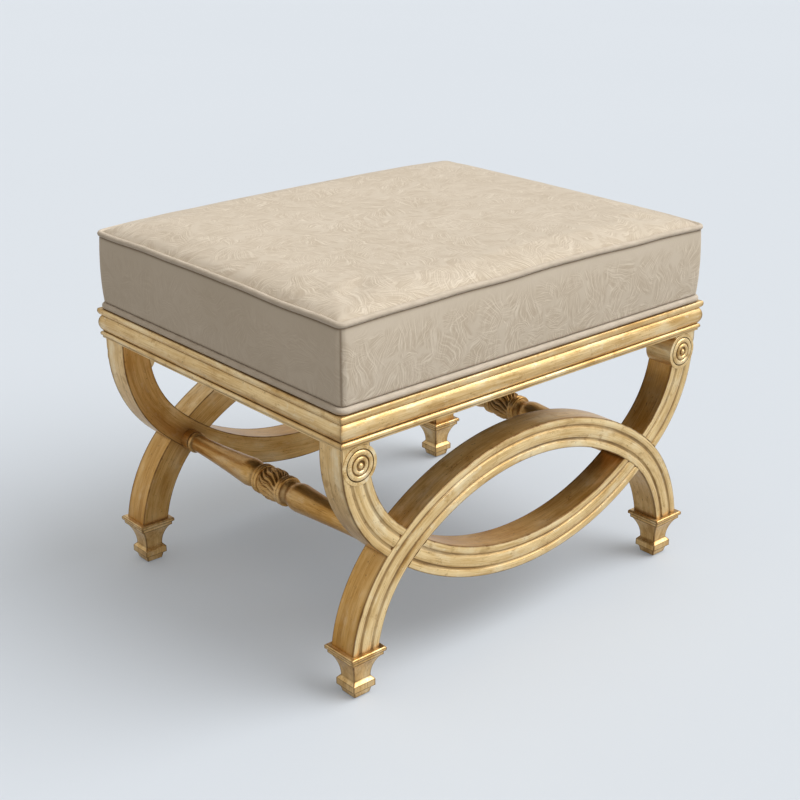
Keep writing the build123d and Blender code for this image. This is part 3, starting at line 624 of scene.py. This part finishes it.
def sweep_band(name, stations, grooves, seed, stain_and_shade):
    """Closed band along stations of (x, z, nx, nz, length), its grooves fading by their share.

    Its last argument gives how browned the band's outer and inner side is at a height, by staining and by
    painted shade."""
    full = np.asarray(divide(soften(band_outline(), BAND_ROUND)))
    flat = full.copy()
    flat[full[:, 1] < GROOVE_DEPTH + 0.2, 1] *= 0.1
    edge, hollow = masks(full)
    items = []
    for (x, z, nx, nz, s), groove in zip(stations, grooves):
        for (v, y), e, h in zip(flat + (full - flat) * groove, edge, hollow):
            px, pz = x + v * nx, z + v * nz
            gap = math.hypot(abs(px) - CROSSING_X, pz - STRETCHER_Z)
            wear_and_shade = band_wear_and_shade((v, y, pz), gap, e, h * groove, stain_and_shade)
            items.append(((px, y - FRAME_FACE, pz), (s + seed, v, y), wear_and_shade))
    return skin(name, items, len(full))


def plain_band(stations, front, back):
    """Rectangular band, a little wider than the frame's, used to cut a halving joint."""
    half = BAND / 2 + LAP_GAP
    outline = [(-half, back), (half, back), (half, front), (-half, front)]
    none = (0.0, 0.0, 0.0)
    places = [(x + v * nx, y, z + v * nz) for x, z, nx, nz, _ in stations for v, y in outline]
    return skin("lap", [(place, none, none) for place in places], len(outline))


def lathe(name, outline, centre, facing, segments, seed, carving=None, stain_and_shade=0.0, hollow_width=1.1):
    """Turned piece about an axis parallel to Y; outline is (radius, distance along the axis)."""
    edge, hollow = masks(outline, closed=False, hollow_width=hollow_width)
    items = []
    for (radius, along), e, row_hollow in zip(outline, edge, hollow):
        for j in range(segments):
            angle = 2 * math.pi * j / segments
            r, h = carving(radius, along, angle, row_hollow) if carving else (radius, row_hollow)
            x, z = r * math.cos(angle), r * math.sin(angle)
            place = (centre[0] + x, centre[1] + facing * along, centre[2] + z)
            items.append((place, (along + seed, x, z), (0.25 * e, h, stain_and_shade)))
    return skin(name, items, segments, 40.0 if carving else 32.0)


def cut(piece, operation, tool):
    """Apply a boolean and delete its tool."""
    modifier = piece.modifiers.new("cut", "BOOLEAN")
    modifier.operation = operation
    modifier.solver = "EXACT"
    modifier.object = tool
    graph = bpy.context.evaluated_depsgraph_get()
    mesh = bpy.data.meshes.new_from_object(piece.evaluated_get(graph))
    piece.modifiers.remove(modifier)
    old = piece.data
    piece.data = mesh
    bpy.data.meshes.remove(old)
    bpy.data.objects.remove(tool)


def trim_below(piece, height):
    """Cut a piece off flat at a height and close it."""
    with editing(piece.data) as work:
        geometry = work.verts[:] + work.edges[:] + work.faces[:]
        place = {"plane_co": (0, 0, height * MM), "plane_no": (0, 0, 1)}
        result = bmesh.ops.bisect_plane(work, geom=geometry, clear_inner=True, **place)
        rim = [item for item in result["geom_cut"] if isinstance(item, bmesh.types.BMEdge)]
        bmesh.ops.holes_fill(work, edges=rim)


def mirrored(piece, name):
    """Copy of a front piece for the back of the stool."""
    copy = piece.copy()
    copy.data = piece.data.copy()
    copy.name = name
    copy.data.name = name
    with editing(copy.data) as work:
        for vertex in work.verts:
            vertex.co.y = -vertex.co.y
        bmesh.ops.reverse_faces(work, faces=work.faces)
    scene.collection.objects.link(copy)
    resharpen(copy)
    return copy


def joined(first, second):
    """Put the second mesh object's geometry into the first."""
    with editing(first.data) as work:
        work.from_mesh(second.data)
    bpy.data.objects.remove(second)
    return first


ARCH_PATH = [(x, z + ARCH["spring"], nx, nz, s) for x, z, nx, nz, s in three_centred(ARCH)]
HANGER_ARC = [(x, HANGER["spring"] - z, nx, -nz, s) for x, z, nx, nz, s in three_centred(HANGER)]
POST_STEPS = (RAIL_BOTTOM - 0.05, 322.0, 317.0, 312.0)


def hanger_path():
    """Stations down the left post, round the hanging arc and up the right post."""
    half, spring = HANGER["half"], HANGER["spring"]
    length = HANGER_ARC[-1][4]
    left = [(-half, z, -1.0, 0.0, spring - z) for z in POST_STEPS]
    right = [(half, z, 1.0, 0.0, length + z - spring) for z in reversed(POST_STEPS)]
    return left + HANGER_ARC + right


def eye_pair():
    """Both scroll eyes as one mesh, and the cutters of their recesses as another."""
    axis, radius, length = 0.01, EYE_RADIUS - EYE_SHY, FRAME_DEPTH + EYE_PROUD - EYE_BACK
    bore = EYE_RADIUS - EYE_RIM
    eye = soften([(axis, 0.0), (radius, 0.0), (radius, length), (axis, length)], 0.8, closed=False)
    eye = divide(eye, closed=False)
    well = divide([(axis, 0.0), (bore, 0.0), (bore, WELL_CUT), (axis, WELL_CUT)], closed=False)
    eyes, wells = [], []
    for sign in (-1, 1):
        back = (sign * EYE_X, -FRAME_INNER - EYE_BACK, EYE_Z)
        bottom = (sign * EYE_X, -FRAME_FACE + WELL_DEPTH, EYE_Z)
        eyes.append(lathe("eye", eye, back, -1, 72, 40.0 * sign))
        wells.append(lathe("well", well, bottom, -1, 72, 70.0 * sign))
        wear_and_shade = wells[-1].data.attributes["wear_and_shade"].data
        wear_and_shade.foreach_set("vector", np.tile((0.0, 0.75, 0.0), len(wear_and_shade)))
    return joined(*eyes), joined(*wells)


def hanging_arc():
    """Front hanging arc: banded curve, posts and scroll eyes, halved where the arch passes."""
    plain = [0.0] * len(POST_STEPS)
    grooves = plain + [1.0] * len(HANGER_ARC) + plain
    piece = sweep_band("hanging_arc_front", hanger_path(), grooves, 0.0, hanger_stain_and_shade)
    eyes, wells = eye_pair()
    cut(piece, "UNION", eyes)
    cut(piece, "DIFFERENCE", wells)
    cut(piece, "DIFFERENCE", plain_band(ARCH_PATH, -FRAME_FACE - LAP_REACH, -FRAME_MIDDLE))
    resharpen(piece)
    return piece


def standing_arch():
    """Front standing arch, cut off flat on its feet and halved behind where the hanging arc passes."""
    grooves = [1.0] * len(ARCH_PATH)
    piece = sweep_band("standing_arch_front", ARCH_PATH, grooves, 900.0, arch_stain_and_shade)
    trim_below(piece, FOOT_TOP)
    front, back = -FRAME_MIDDLE - LAP_GLUE, -FRAME_INNER + LAP_REACH
    cut(piece, "DIFFERENCE", plain_band(HANGER_ARC, front, back))
    resharpen(piece)
    return piece


front_hanger = hanging_arc()
front_arch = standing_arch()
settle(front_hanger, "gilded_wood", "front_hanging_arc")
settle(front_arch, "gilded_wood", "front_standing_arch")
settle(mirrored(front_hanger, "hanging_arc_back"), "gilded_wood", "back_hanging_arc")
settle(mirrored(front_arch, "standing_arch_back"), "gilded_wood", "back_standing_arch")


# Feet and rosettes
def foot_outline():
    """Half outline of a foot from its underside up, in half width and height above the floor."""
    half = FOOT_HALF
    level = {key: GLIDE + value for key, value in FOOT_LEVEL.items()}
    bevel, fall = COLLAR_BEVEL
    cove_start, cove_end = (half["neck"], level["neck"]), (half["cove"], level["cove"])
    points = [(half["toe"], GLIDE), (half["base"], level["base"])]
    points += [(half["block"], level["base"]), (half["block"], level["block"])]
    points += arc3(cove_start, (COVE_HALF, GLIDE + COVE_LEVEL), cove_end, 14)
    points += [(half["step"], level["cove"]), (half["step"], level["step"])]
    points += [(half["collar"], level["step"]), (half["collar"], level["collar"] - fall)]
    points.append((half["collar"] - bevel, level["collar"]))
    return divide(soften(points, 0.7, closed=False), closed=False, first=0.7, far=3.0)


def square_ring(half, corner):
    """Points round a square with small rounded corners, and how near each is to a corner."""
    flat = half - corner
    side = []
    for t in (-1.0, -0.97, -0.9, -0.5, 0.0, 0.5, 0.9, 0.97, 1.0):
        side.append((half, flat * t, near((1 - abs(t)) * flat, 1.1)))
    for a in (math.radians(degrees) for degrees in (22.5, 45.0, 67.5)):
        side.append((flat + corner * math.cos(a), flat + corner * math.sin(a), 1.0))
    ring = []
    for turn in (quarter * math.pi / 2 for quarter in range(4)):
        c, s = math.cos(turn), math.sin(turn)
        ring += [(x * c - y * s, x * s + y * c, arris) for x, y, arris in side]
    return ring


def square_foot(name, cx, cy, seed):
    """Spade foot with a cove, softened arrises and dark steps."""
    outline = foot_outline()
    items = []
    for (half, z), e, h in zip(outline, *masks(outline, closed=False)):
        for x, y, arris in square_ring(half, 0.9):
            items.append(((cx + x, cy + y, z), (z + seed, x, y), (max(e, 0.85 * arris), h, 0.4)))
    return skin(name, items, len(items) // len(outline))


def rosette_outline():
    """Turned rosette from its rim to its button, as radius and height above the recess floor."""
    plinth, crest = 3.5, 5.7
    rim, rim_inner, ring, ring_inner, button = 18.3, 12.5, 10.9, 5.9, 3.6
    points = [(rim, -0.4), (rim, plinth)]
    points += arc3((rim, plinth), (15.6, crest - 0.6), (rim_inner, plinth + 0.6), 10)[1:]
    points += [(rim_inner - 0.3, plinth - 0.9), (ring + 0.3, plinth - 0.9)]
    points += arc3((ring, plinth), ((ring + ring_inner) / 2, crest), (ring_inner, plinth), 10)
    points += [(ring_inner - 0.2, plinth - 1.0), (button + 0.5, plinth - 1.0), (button + 0.2, plinth)]
    points += arc3((button, plinth), (2.2, crest + 0.2), (AXIS, crest + 0.9), 6)
    return soften(points, 0.3, closed=False)


for y_name, y_sign in (("front", -1), ("back", 1)):
    for x_name, x_sign in (("left", -1), ("right", 1)):
        place = f"{y_name}_{x_name}"
        seed = 300.0 * (2 + x_sign) + 140.0 * (2 + y_sign)
        foot = square_foot(f"foot_{place}", x_sign * FOOT_X, y_sign * FRAME_MIDDLE, seed)
        settle(foot, "gilded_wood", f"{place}_foot")
        centre = (x_sign * EYE_X, y_sign * (FRAME_FACE - WELL_DEPTH), EYE_Z)
        rose = lathe(f"rosette_{place}", rosette_outline(), centre, y_sign, 64, seed)
        settle(rose, "gilded_wood", f"{place}_rosette")


# Stretchers
def stretcher_side(start, sign):
    """Half outline of a stretcher outward from its knop, as (radius, y)."""
    rings = start + 2 * RING_WIDTH
    cove = rings + COVE_WIDTH
    belly = start + BELLY_AT
    drum = FRAME_INNER - DRUM_LENGTH
    ring = drum - BUTT_RING_WIDTH
    neck = ring - NECK_LENGTH
    tail = FRAME_INNER + DRUM_SINK
    arcs = (
        ((RING_VALLEY, start), (RING_RADIUS, start + RING_WIDTH / 2), (RING_VALLEY, start + RING_WIDTH), 8),
        ((RING_VALLEY, start + RING_WIDTH), (RING_RADIUS, rings - RING_WIDTH / 2), (RING_FOOT, rings), 8),
        ((RING_FOOT, rings), (COVE_RADIUS, (rings + cove) / 2), (COVE_END, cove), 8),
        ((BELLY_START, cove + 0.1), (SHOULDER_RADIUS, start + SHOULDER_AT), (BELLY_RADIUS, belly), 12),
        ((BELLY_RADIUS, belly), (TAPER_RADIUS, (belly + neck) / 2), (NECK_RADIUS, neck), 24),
        ((NECK_RADIUS, ring), (BUTT_RING, (ring + drum) / 2), (NECK_RADIUS, drum), 8),
    )
    points = [(RING_VALLEY, start)]
    for first, middle, last, count in arcs[:-1]:
        points += arc3(first, middle, last, count)[1:]
    points += arc3(*arcs[-1])
    points += [(DRUM_RADIUS, drum), (DRUM_RADIUS, tail), (AXIS, tail)]
    points = divide(soften(points, 0.5, closed=False), closed=False, first=0.8, far=4.0)
    return [(r, sign * y) for r, y in points]


def stretcher_outline():
    """Whole outline of a stretcher from its front end to its back end."""
    first, last = KNOP_MIDDLE - KNOP_HALF, KNOP_MIDDLE + KNOP_HALF
    knop = arc3((KNOP_END, first), (KNOP_RADIUS, KNOP_MIDDLE), (KNOP_END, last), 44)
    return stretcher_side(-first, -1)[::-1] + knop + stretcher_side(last, 1)


def carve(radius, along, angle, hollow):
    """Curved reeds with fine veins cut round the knop, leaning each way from its middle."""
    t = (along - KNOP_MIDDLE) / KNOP_HALF
    if abs(t) > 1.0:
        return radius, hollow
    fade = min(1.0, (1.0 - abs(t)) * 5.0)
    lean = REED_LEAN * t * abs(t)
    reed = math.sqrt(max(0.0, 0.5 + 0.5 * math.cos(KNOP_REEDS * (angle + lean))))
    vein = 0.5 - 0.5 * math.cos(3 * KNOP_REEDS * (angle - 1.6 * lean) + 9.0 * t)
    depth = fade * (REED_DEPTH * (1 - reed) + VEIN_DEPTH * vein)
    return radius - depth, max(hollow, fade * (1 - reed), 0.45 * fade * vein)


for x_name, x_sign in (("left", -1), ("right", 1)):
    centre = (x_sign * CROSSING_X, 0.0, STRETCHER_Z)
    seed = 2000.0 + 700.0 * x_sign
    # The stretchers are browned: staining and painted shade for their place under the seat
    shaft = lathe(
        f"stretcher_{x_name}", stretcher_outline(), centre, 1, 18 * KNOP_REEDS, seed,
        carving=carve, stain_and_shade=0.85, hollow_width=1.9,
    )
    settle(shaft, "gilded_wood", f"{x_name}_stretcher")


# Seat rail
def rail_outline():
    """Rail section as inward distance and height: cap, torus, bead, fillet, then the plain back."""
    torus_crest, bead_crest = TORUS_TOP - TORUS_CREST, (BEAD_TOP + FILLET_TOP) / 2
    points = arc3((CAP_LIP, RAIL_TOP), (0.0, RAIL_TOP - CAP_CREST), (CAP_RETURN, TORUS_TOP), 12)
    points += arc3((TORUS_QUIRK, TORUS_TOP), (TORUS_SETBACK, torus_crest), (TORUS_FOOT, BEAD_TOP), 24)
    points += arc3((BEAD_QUIRK, BEAD_TOP - 0.1), (BEAD_SETBACK, bead_crest), (BEAD_RETURN, FILLET_TOP), 10)
    points += [(FILLET_SETBACK, FILLET_TOP), (FILLET_SETBACK, RAIL_BOTTOM)]
    points += [(RAIL_THICK, RAIL_BOTTOM), (RAIL_THICK, RAIL_TOP)]
    return divide(soften(points, 0.35), first=0.7, far=6.0)


def moulded_rail(name, length, distance, turn, seed):
    """Rail with mitred ends, dark in the mitre; turn is its angle about Z."""
    outline = rail_outline()
    edge, hollow = masks(outline)
    gaps = (0.05, 0.5, 1.4, 3.0, 8.0, 40.0)
    stations = [(-1, g) for g in gaps] + [(0, 0.0)] + [(1, g) for g in reversed(gaps)]
    cos_t, sin_t = math.cos(turn), math.sin(turn)
    items = []
    for side, gap in stations:
        shade = near(gap, MITRE_SHADE) if side else 0.0
        for (d, z), e, h in zip(outline, edge, hollow):
            x, y = side * (length / 2 - d - gap), d - distance
            place = (x * cos_t - y * sin_t, x * sin_t + y * cos_t, z)
            items.append((place, (x + seed, d, z), (0.45 * e * (1 - shade), max(h, shade), 0.18)))
    return skin(name, items, len(outline))


RAILS = (
    ("front", RAIL_WIDTH, RAIL_DEPTH / 2, 0.0),
    ("right", RAIL_DEPTH, RAIL_WIDTH / 2, math.pi / 2),
    ("back", RAIL_WIDTH, RAIL_DEPTH / 2, math.pi),
    ("left", RAIL_DEPTH, RAIL_WIDTH / 2, -math.pi / 2),
)
for index, (side_name, length, distance, turn) in enumerate(RAILS):
    rail = moulded_rail(f"rail_{side_name}", length, distance, turn, 3000.0 + 800.0 * index)
    settle(rail, "gilded_wood", f"{side_name}_rail")


# Cushion
def seam_wave(s, total):
    """Slight rise and fall of a sewn edge, in millimetres, at a place along its run."""
    t = 2 * math.pi * s / total
    return 0.55 * math.sin(7 * t + 0.8) + 0.4 * math.sin(12 * t + 2.1) + 0.25 * math.sin(19 * t + 4.0)


def run_lengths(path):
    """Distances along a closed path in plan, from zero to its whole length."""
    lengths = [0.0]
    for p, q in zip(path, path[1:] + path[:1]):
        lengths.append(lengths[-1] + math.hypot(p[0] - q[0], p[1] - q[1]))
    return lengths


def grid_lines(half):
    """Grid lines from -half to half, closer together near the edges."""
    side = [half - gap for gap in EDGE_GAPS]
    count = max(2, round(side[-1] / GRID_STEP))
    positive = sorted(set(side + [side[-1] * i / count for i in range(count)]))
    return [-v for v in reversed(positive) if v > 0] + positive


def edge_keys(columns, rows):
    """Grid places round the edge of the top, from its first corner."""
    keys = [(i, 0) for i in range(columns)] + [(columns - 1, j) for j in range(1, rows)]
    keys += [(i, rows - 1) for i in range(columns - 2, -1, -1)]
    return keys + [(0, j) for j in range(rows - 2, 0, -1)]


def round_corner(x, y, a, b, corner):
    """Move a point of a square grid onto a rectangle with rounded corners."""
    dx, dy = abs(x) - (a - corner), abs(y) - (b - corner)
    if dx <= 0 or dy <= 0:
        return x, y
    u, v = dx / corner, dy / corner
    u, v = u * math.sqrt(1 - v * v / 2), v * math.sqrt(1 - u * u / 2)
    return math.copysign(a - corner + u * corner, x), math.copysign(b - corner + v * corner, y)


def crown(x, y, a, b):
    """Rise of the cushion's top above its seam, in millimetres: full shoulders and a low dome."""
    gap_x, gap_y = a - abs(x), b - abs(y)
    gap = gap_x + gap_y - math.hypot(gap_x, gap_y)
    shoulder = 1 - math.exp(-gap / 10.0)
    dome = (1 - (x / a) ** 2) * (1 - (y / b) ** 2)
    return 14.5 * shoulder + 2.5 * dome


def bow(x, y, a, b):
    """Rise of the top's edges between the corners, where the filling lifts them."""
    long_side = 4.2 * (1 - min(abs(x) / a, 1.0) ** 2.6) * (y / b) ** 2
    short_side = 1.6 * (1 - min(abs(y) / b, 1.0) ** 2.6) * (x / a) ** 2
    return long_side + short_side


def edge_normal(point, flat_x, flat_y):
    """Outward direction in plan at a point of the cushion's edge."""
    x = point[0] - math.copysign(min(abs(point[0]), flat_x), point[0])
    y = point[1] - math.copysign(min(abs(point[1]), flat_y), point[1])
    size = math.hypot(x, y)
    return x / size, y / size


def boxing_offset(z):
    """How far the boxing stands out from the cushion's size at a height."""
    if z > BOXING_HIGH:
        return -TOP_INSET + (TOP_PIPING_Z - z) / (TOP_PIPING_Z - BOXING_HIGH) * (TOP_INSET - 0.4)
    if z < BOXING_LOW:
        return -LOW_INSET - 1.0
    t = (z - BOXING_LOW) / (BOXING_HIGH - BOXING_LOW)
    return 0.4 - 1.0 * (1 - t) ** 6 + 1.9 * math.sin(math.pi * t) ** 0.8 - 0.3 * t


def boxing_rows(points, top_row, normals):
    """Add the rows of points down the sides from the top's edge, drawn in at the corner seams."""
    rows = [top_row]
    for z in BOXING_ROWS[1:]:
        fade = (z - LOW_PIPING_Z) / (TOP_PIPING_Z - LOW_PIPING_Z)
        row = []
        for vertex, (nx, ny) in zip(top_row, normals):
            x, y, level = points[vertex]
            offset = boxing_offset(z) + TOP_INSET
            if min(abs(nx), abs(ny)) > 0.2:
                offset -= 0.55 * near(abs(nx) - abs(ny), 0.2) + 0.5
            row.append(len(points))
            points.append([x + nx * offset, y + ny * offset, z + fade * (level - TOP_PIPING_Z)])
        rows.append(row)
    return rows


def boxing_cloth(s, z, corners):
    """Cloth layer of a boxing point: its place along the run and up, and its painted shade in the seams:
    under the top piping, over the lower one and at the corners.
    """
    turn_gap = min(abs(s - corner) for corner in corners)
    shade = max(near(z - TOP_STITCH, 1.5), near(z - LOW_STITCH, 1.5), 0.9 * near(turn_gap, 0.9))
    return s * MM, z * MM + BOXING_SHIFT, shade


def cushion_body():
    """Closed box cushion: crowned top, four swelling sides and a flat underside, sewn at the edges.

    Also returns the points that its seams hold and the points of its top seam."""
    a, b = CUSHION_WIDTH / 2 - TOP_INSET, CUSHION_DEPTH / 2 - TOP_INSET
    corner = CUSHION_CORNER - TOP_INSET + 1.0
    xs, ys = grid_lines(a), grid_lines(b)
    nx, ny = len(xs), len(ys)
    grid = [(i, j) for i in range(nx) for j in range(ny)]
    points, top, inner = [], {}, {}
    for i, j in grid:
        x, y = xs[i], ys[j]
        top[i, j] = len(points)
        height = TOP_PIPING_Z + crown(x, y, a, b) + bow(x, y, a, b)
        points.append([*round_corner(x, y, a, b, corner), height])
    ring = edge_keys(nx, ny)
    seam = [points[top[key]] for key in ring]
    lengths = run_lengths(seam)
    for point, s in zip(seam, lengths):
        point[2] += seam_wave(s, lengths[-1])
    normals = [edge_normal(point, a - corner, b - corner) for point in seam]
    rows = boxing_rows(points, [top[key] for key in ring], normals)
    base = dict(zip(ring, rows[-1]))
    for i, j in grid:
        if (i, j) not in base:
            inner[i, j] = len(points)
            points.append([*round_corner(xs[i], ys[j], a, b, corner), BOARD_TOP + 0.4])
    base.update(inner)
    faces, cloth = [], []
    for i in range(nx - 1):
        for j in range(ny - 1):
            quad = ((i, j), (i + 1, j), (i + 1, j + 1), (i, j + 1))
            faces.append(tuple(top[key] for key in quad))
            # Painted shade along the top's edge, beside the piping
            for x, y, _ in (points[v] for v in faces[-1]):
                cloth.append((x * MM, y * MM, 0.35 * near(min(a - abs(x), b - abs(y)), 2.4)))
            faces.append(tuple(base[key] for key in reversed(quad)))
            cloth += [(points[v][0] * MM, points[v][1] * MM, 0.0) for v in faces[-1]]
    count = len(ring)
    corners = [lengths[k] for k in (0, nx - 1, nx + ny - 2, 2 * nx + ny - 3, count)]
    for r in range(len(rows) - 1):
        z0, z1 = BOXING_ROWS[r], BOXING_ROWS[r + 1]
        for j in range(count):
            k = (j + 1) % count
            faces.append((rows[r][j], rows[r + 1][j], rows[r + 1][k], rows[r][k]))
            s0, s1 = lengths[j], lengths[j + 1]
            cloth += [boxing_cloth(s, z, corners) for s, z in ((s0, z0), (s0, z1), (s1, z1), (s1, z0))]
    piece = new_mesh("cushion", points, faces, CLOTH, {"cloth": cloth}, sharp=80.0)
    held = set(inner.values()).union(*rows[:4], *rows[-5:])
    for index, (x, y) in enumerate(normals):
        if abs(abs(x) - abs(y)) < 0.05:
            held |= {row[index] for row in rows}
    return piece, sorted(held), seam


def swell(piece, held, cap):
    """Fill the sewn cover by cloth simulation with its seams held, then keep the result."""
    group = piece.vertex_groups.new(name="held")
    group.add(held, 1.0, "REPLACE")
    modifier = piece.modifiers.new("cloth", "CLOTH")
    settings = modifier.settings
    settings.vertex_group_mass = "held"
    settings.quality = 6
    settings.mass = 0.3
    settings.tension_stiffness = 35
    settings.compression_stiffness = 35
    settings.shear_stiffness = 20
    settings.bending_stiffness = 4
    settings.use_pressure = True
    settings.uniform_pressure_force = 4
    settings.effector_weights.gravity = 0
    modifier.point_cache.frame_start = 1
    modifier.point_cache.frame_end = SWELL_STEPS
    before = np.empty(len(piece.data.vertices) * 3)
    piece.data.vertices.foreach_get("co", before)
    for step in range(1, SWELL_STEPS + 1):
        scene.frame_set(step)
    graph = bpy.context.evaluated_depsgraph_get()
    after = np.empty_like(before)
    piece.evaluated_get(graph).data.vertices.foreach_get("co", after)
    move = (after - before).reshape(-1, 3)
    size = np.linalg.norm(move, axis=1, keepdims=True)
    limited = move * (np.tanh(size / cap) * cap / np.maximum(size, 1e-9))
    piece.modifiers.remove(modifier)
    piece.vertex_groups.remove(group)
    piece.data.vertices.foreach_set("co", before + limited.reshape(-1))
    piece.data.update()
    scene.frame_set(1)
    print("cushion swelled by at most", round(float(np.linalg.norm(limited, axis=1).max()) / MM, 2), "mm")


cushion, held_points, top_seam = cushion_body()
swell(cushion, held_points, SWELL_CAP * MM)
smooth = cushion.modifiers.new("smooth", "SUBSURF")
smooth.levels = 1
smooth.render_levels = 1
settle(
    cushion, "upholstery", "cover_top_panel", "front_boxing", "right_boxing", "back_boxing", "left_boxing",
    "wadding_wrap", "foam_core",
)


# Piping
def piping_path(a, b, corner):
    """Closed path of a piping in plan, round a rectangle with rounded corners."""
    path = []
    for sx, sy, first in ((1, 1, 0), (-1, 1, 90), (-1, -1, 180), (1, -1, 270)):
        for step in range(9):
            t = math.radians(first + 90 * step / 8)
            x, y = sx * (a - corner), sy * (b - corner)
            path.append((x + corner * math.cos(t), y + corner * math.sin(t)))
    dense = []
    for (x0, y0), (x1, y1) in zip(path, path[1:] + path[:1]):
        count = max(1, round(math.hypot(x1 - x0, y1 - y0) / 3.5))
        dense += [(x0 + (x1 - x0) * i / count, y0 + (y1 - y0) * i / count) for i in range(count)]
    return dense


def top_seam_wave(x, y):
    """Height of the top seam above its level beside a point."""
    best = min(top_seam, key=lambda p: (p[0] - x) ** 2 + (p[1] - y) ** 2)
    return best[2] - TOP_PIPING_Z


def piping(edge, inset, level, radius, wave):
    """Cloth-covered cord along a sewn edge, a little uneven, rising with the seam's waves."""
    plan = piping_path(CUSHION_WIDTH / 2 - inset, CUSHION_DEPTH / 2 - inset, CUSHION_CORNER)
    lengths = run_lengths(plan)
    path = [Vector((x, y, level + wave(x, y))) for x, y in plan]
    segments = 18
    girth = 2 * math.pi * radius
    points, cloth, faces = [], [], []
    count = len(path)
    for i, (centre, s) in enumerate(zip(path, lengths)):
        tangent = (path[(i + 1) % count] - path[i - 1]).normalized()
        side = tangent.cross(Vector((0, 0, 1))).normalized()
        up = side.cross(tangent)
        for j in range(segments):
            t = 2 * math.pi * j / segments
            r = radius * (1 + 0.012 * math.sin(s / 9.0 + 2 * t) + 0.01 * math.sin(s / 23.0))
            points.append(centre + side * (r * math.cos(t)) + up * (r * math.sin(t)))
    for i in range(count):
        m = (i + 1) % count
        for j in range(segments):
            k = (j + 1) % segments
            faces.append((i * segments + j, i * segments + k, m * segments + k, m * segments + j))
            for step, turn in ((i, j), (i, j + 1), (i + 1, j + 1), (i + 1, j)):
                cloth.append((lengths[step] * MM, girth * turn / segments * MM, 0.0))
    piece = new_mesh(f"piping_{edge}", points, faces, PIPING_CLOTH, {"cloth": cloth}, sharp=80.0)
    settle(piece, "upholstery", f"{edge}_piping", f"{edge}_piping_cord")


piping("top", TOP_INSET - 1.0, TOP_PIPING_Z, TOP_PIPING_R, top_seam_wave)
piping("bottom", LOW_INSET - 0.5, LOW_PIPING_Z, LOW_PIPING_R, lambda x, y: 0.0)

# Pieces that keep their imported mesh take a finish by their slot
finishes = {
    "beech": raw_wood("beech", (0.62, 0.45, 0.28), (0.47, 0.31, 0.17), (14, 120, 160)),
    "plywood": raw_wood("plywood", (0.66, 0.5, 0.32), (0.5, 0.35, 0.2), (12, 60, 900)),
    "dust_cloth": dust_cloth(),
    "steel": plated_steel(),
    "glide_nylon": glide_nylon(),
}
for row in frame["record"]["subparts"]:
    node = frame["nodes"].get(row["node"])
    if node is not None and row["material_slot"] in finishes:
        node.data.materials.clear()
        node.data.materials.append(finishes[row["material_slot"]])


# Floor, light and camera
def pale_floor():
    """Seamless pale studio floor with a faint mottling, lifted a little for the rays that show it."""
    n = Nodes("floor")
    cloud = n.noise(n.place(), 0.8, 2.0, 0.5)
    seen = n.blend(cloud, (0.53, 0.572, 0.622), (0.545, 0.587, 0.637))
    shown = n.shown()
    color = n.blend(shown, (0.36, 0.36, 0.36), seen)
    return n.finish(
        color, 0.75, Specular_IOR_Level=0.15, Emission_Color=(0.79, 0.89, 1.0, 1),
        Emission_Strength=n.times(shown, 0.175),
    )


def direction(azimuth, elevation):
    """Unit vector towards a place, by its degrees round from the front and up."""
    a, e = math.radians(azimuth), math.radians(elevation)
    return Vector((math.sin(a) * math.cos(e), -math.cos(a) * math.cos(e), math.sin(e)))


def looking_back(towards):
    """Rotation of a lamp or camera that stands that way from the stool and looks at it."""
    return (-towards).to_track_quat("-Z", "Y").to_euler()


def sun(name, azimuth, elevation, spread, strength):
    """White sun lamp; spread is its width in degrees."""
    data = bpy.data.lights.new(name, "SUN")
    data.angle = math.radians(spread)
    data.energy = strength
    light = bpy.data.objects.new(name, data)
    light.rotation_euler = looking_back(direction(azimuth, elevation))
    scene.collection.objects.link(light)


def surroundings():
    """World that lights the stool with a dim warm grey and shows as a paler cool one."""
    n = Nodes("studio", world=True)
    dim = n.add("ShaderNodeBackground", {0: (1.0, 0.9, 0.79, 1), 1: 0.37})
    pale = n.add("ShaderNodeBackground", {0: (0.76, 0.79, 0.82, 1), 1: 1.0})
    mix = n.add("ShaderNodeMixShader", {0: n.shown(), 1: dim, 2: pale})
    n.put(n.output.inputs[0], mix)
    scene.world = n.data


def photo_camera():
    """Camera fitted to the photo: its focal length is in pixels of the photo's width."""
    focal, photo_width, sensor = 1473.51, 800.0, 36.0
    reach, target = 1.96057, Vector((-0.00428, 0.0, 0.232))
    data = bpy.data.cameras.new("camera")
    data.sensor_width = sensor
    data.lens = sensor * focal / photo_width
    camera = bpy.data.objects.new("camera", data)
    towards = direction(-41.24, 21.88)
    camera.location = target + towards * reach
    camera.rotation_euler = looking_back(towards)
    scene.collection.objects.link(camera)
    scene.camera = camera


def studio():
    """Floor, lamps, world and camera."""
    bpy.ops.mesh.primitive_plane_add(size=60.0, location=(0, 0, 0))
    floor = bpy.context.object
    floor.name = "floor"
    floor.data.materials.append(pale_floor())
    sun("key", 42, 46, 54, 2.5)
    sun("top", 0, 84, 60, 0.5)
    surroundings()
    photo_camera()
    scene.view_settings.view_transform = "Standard"


studio()
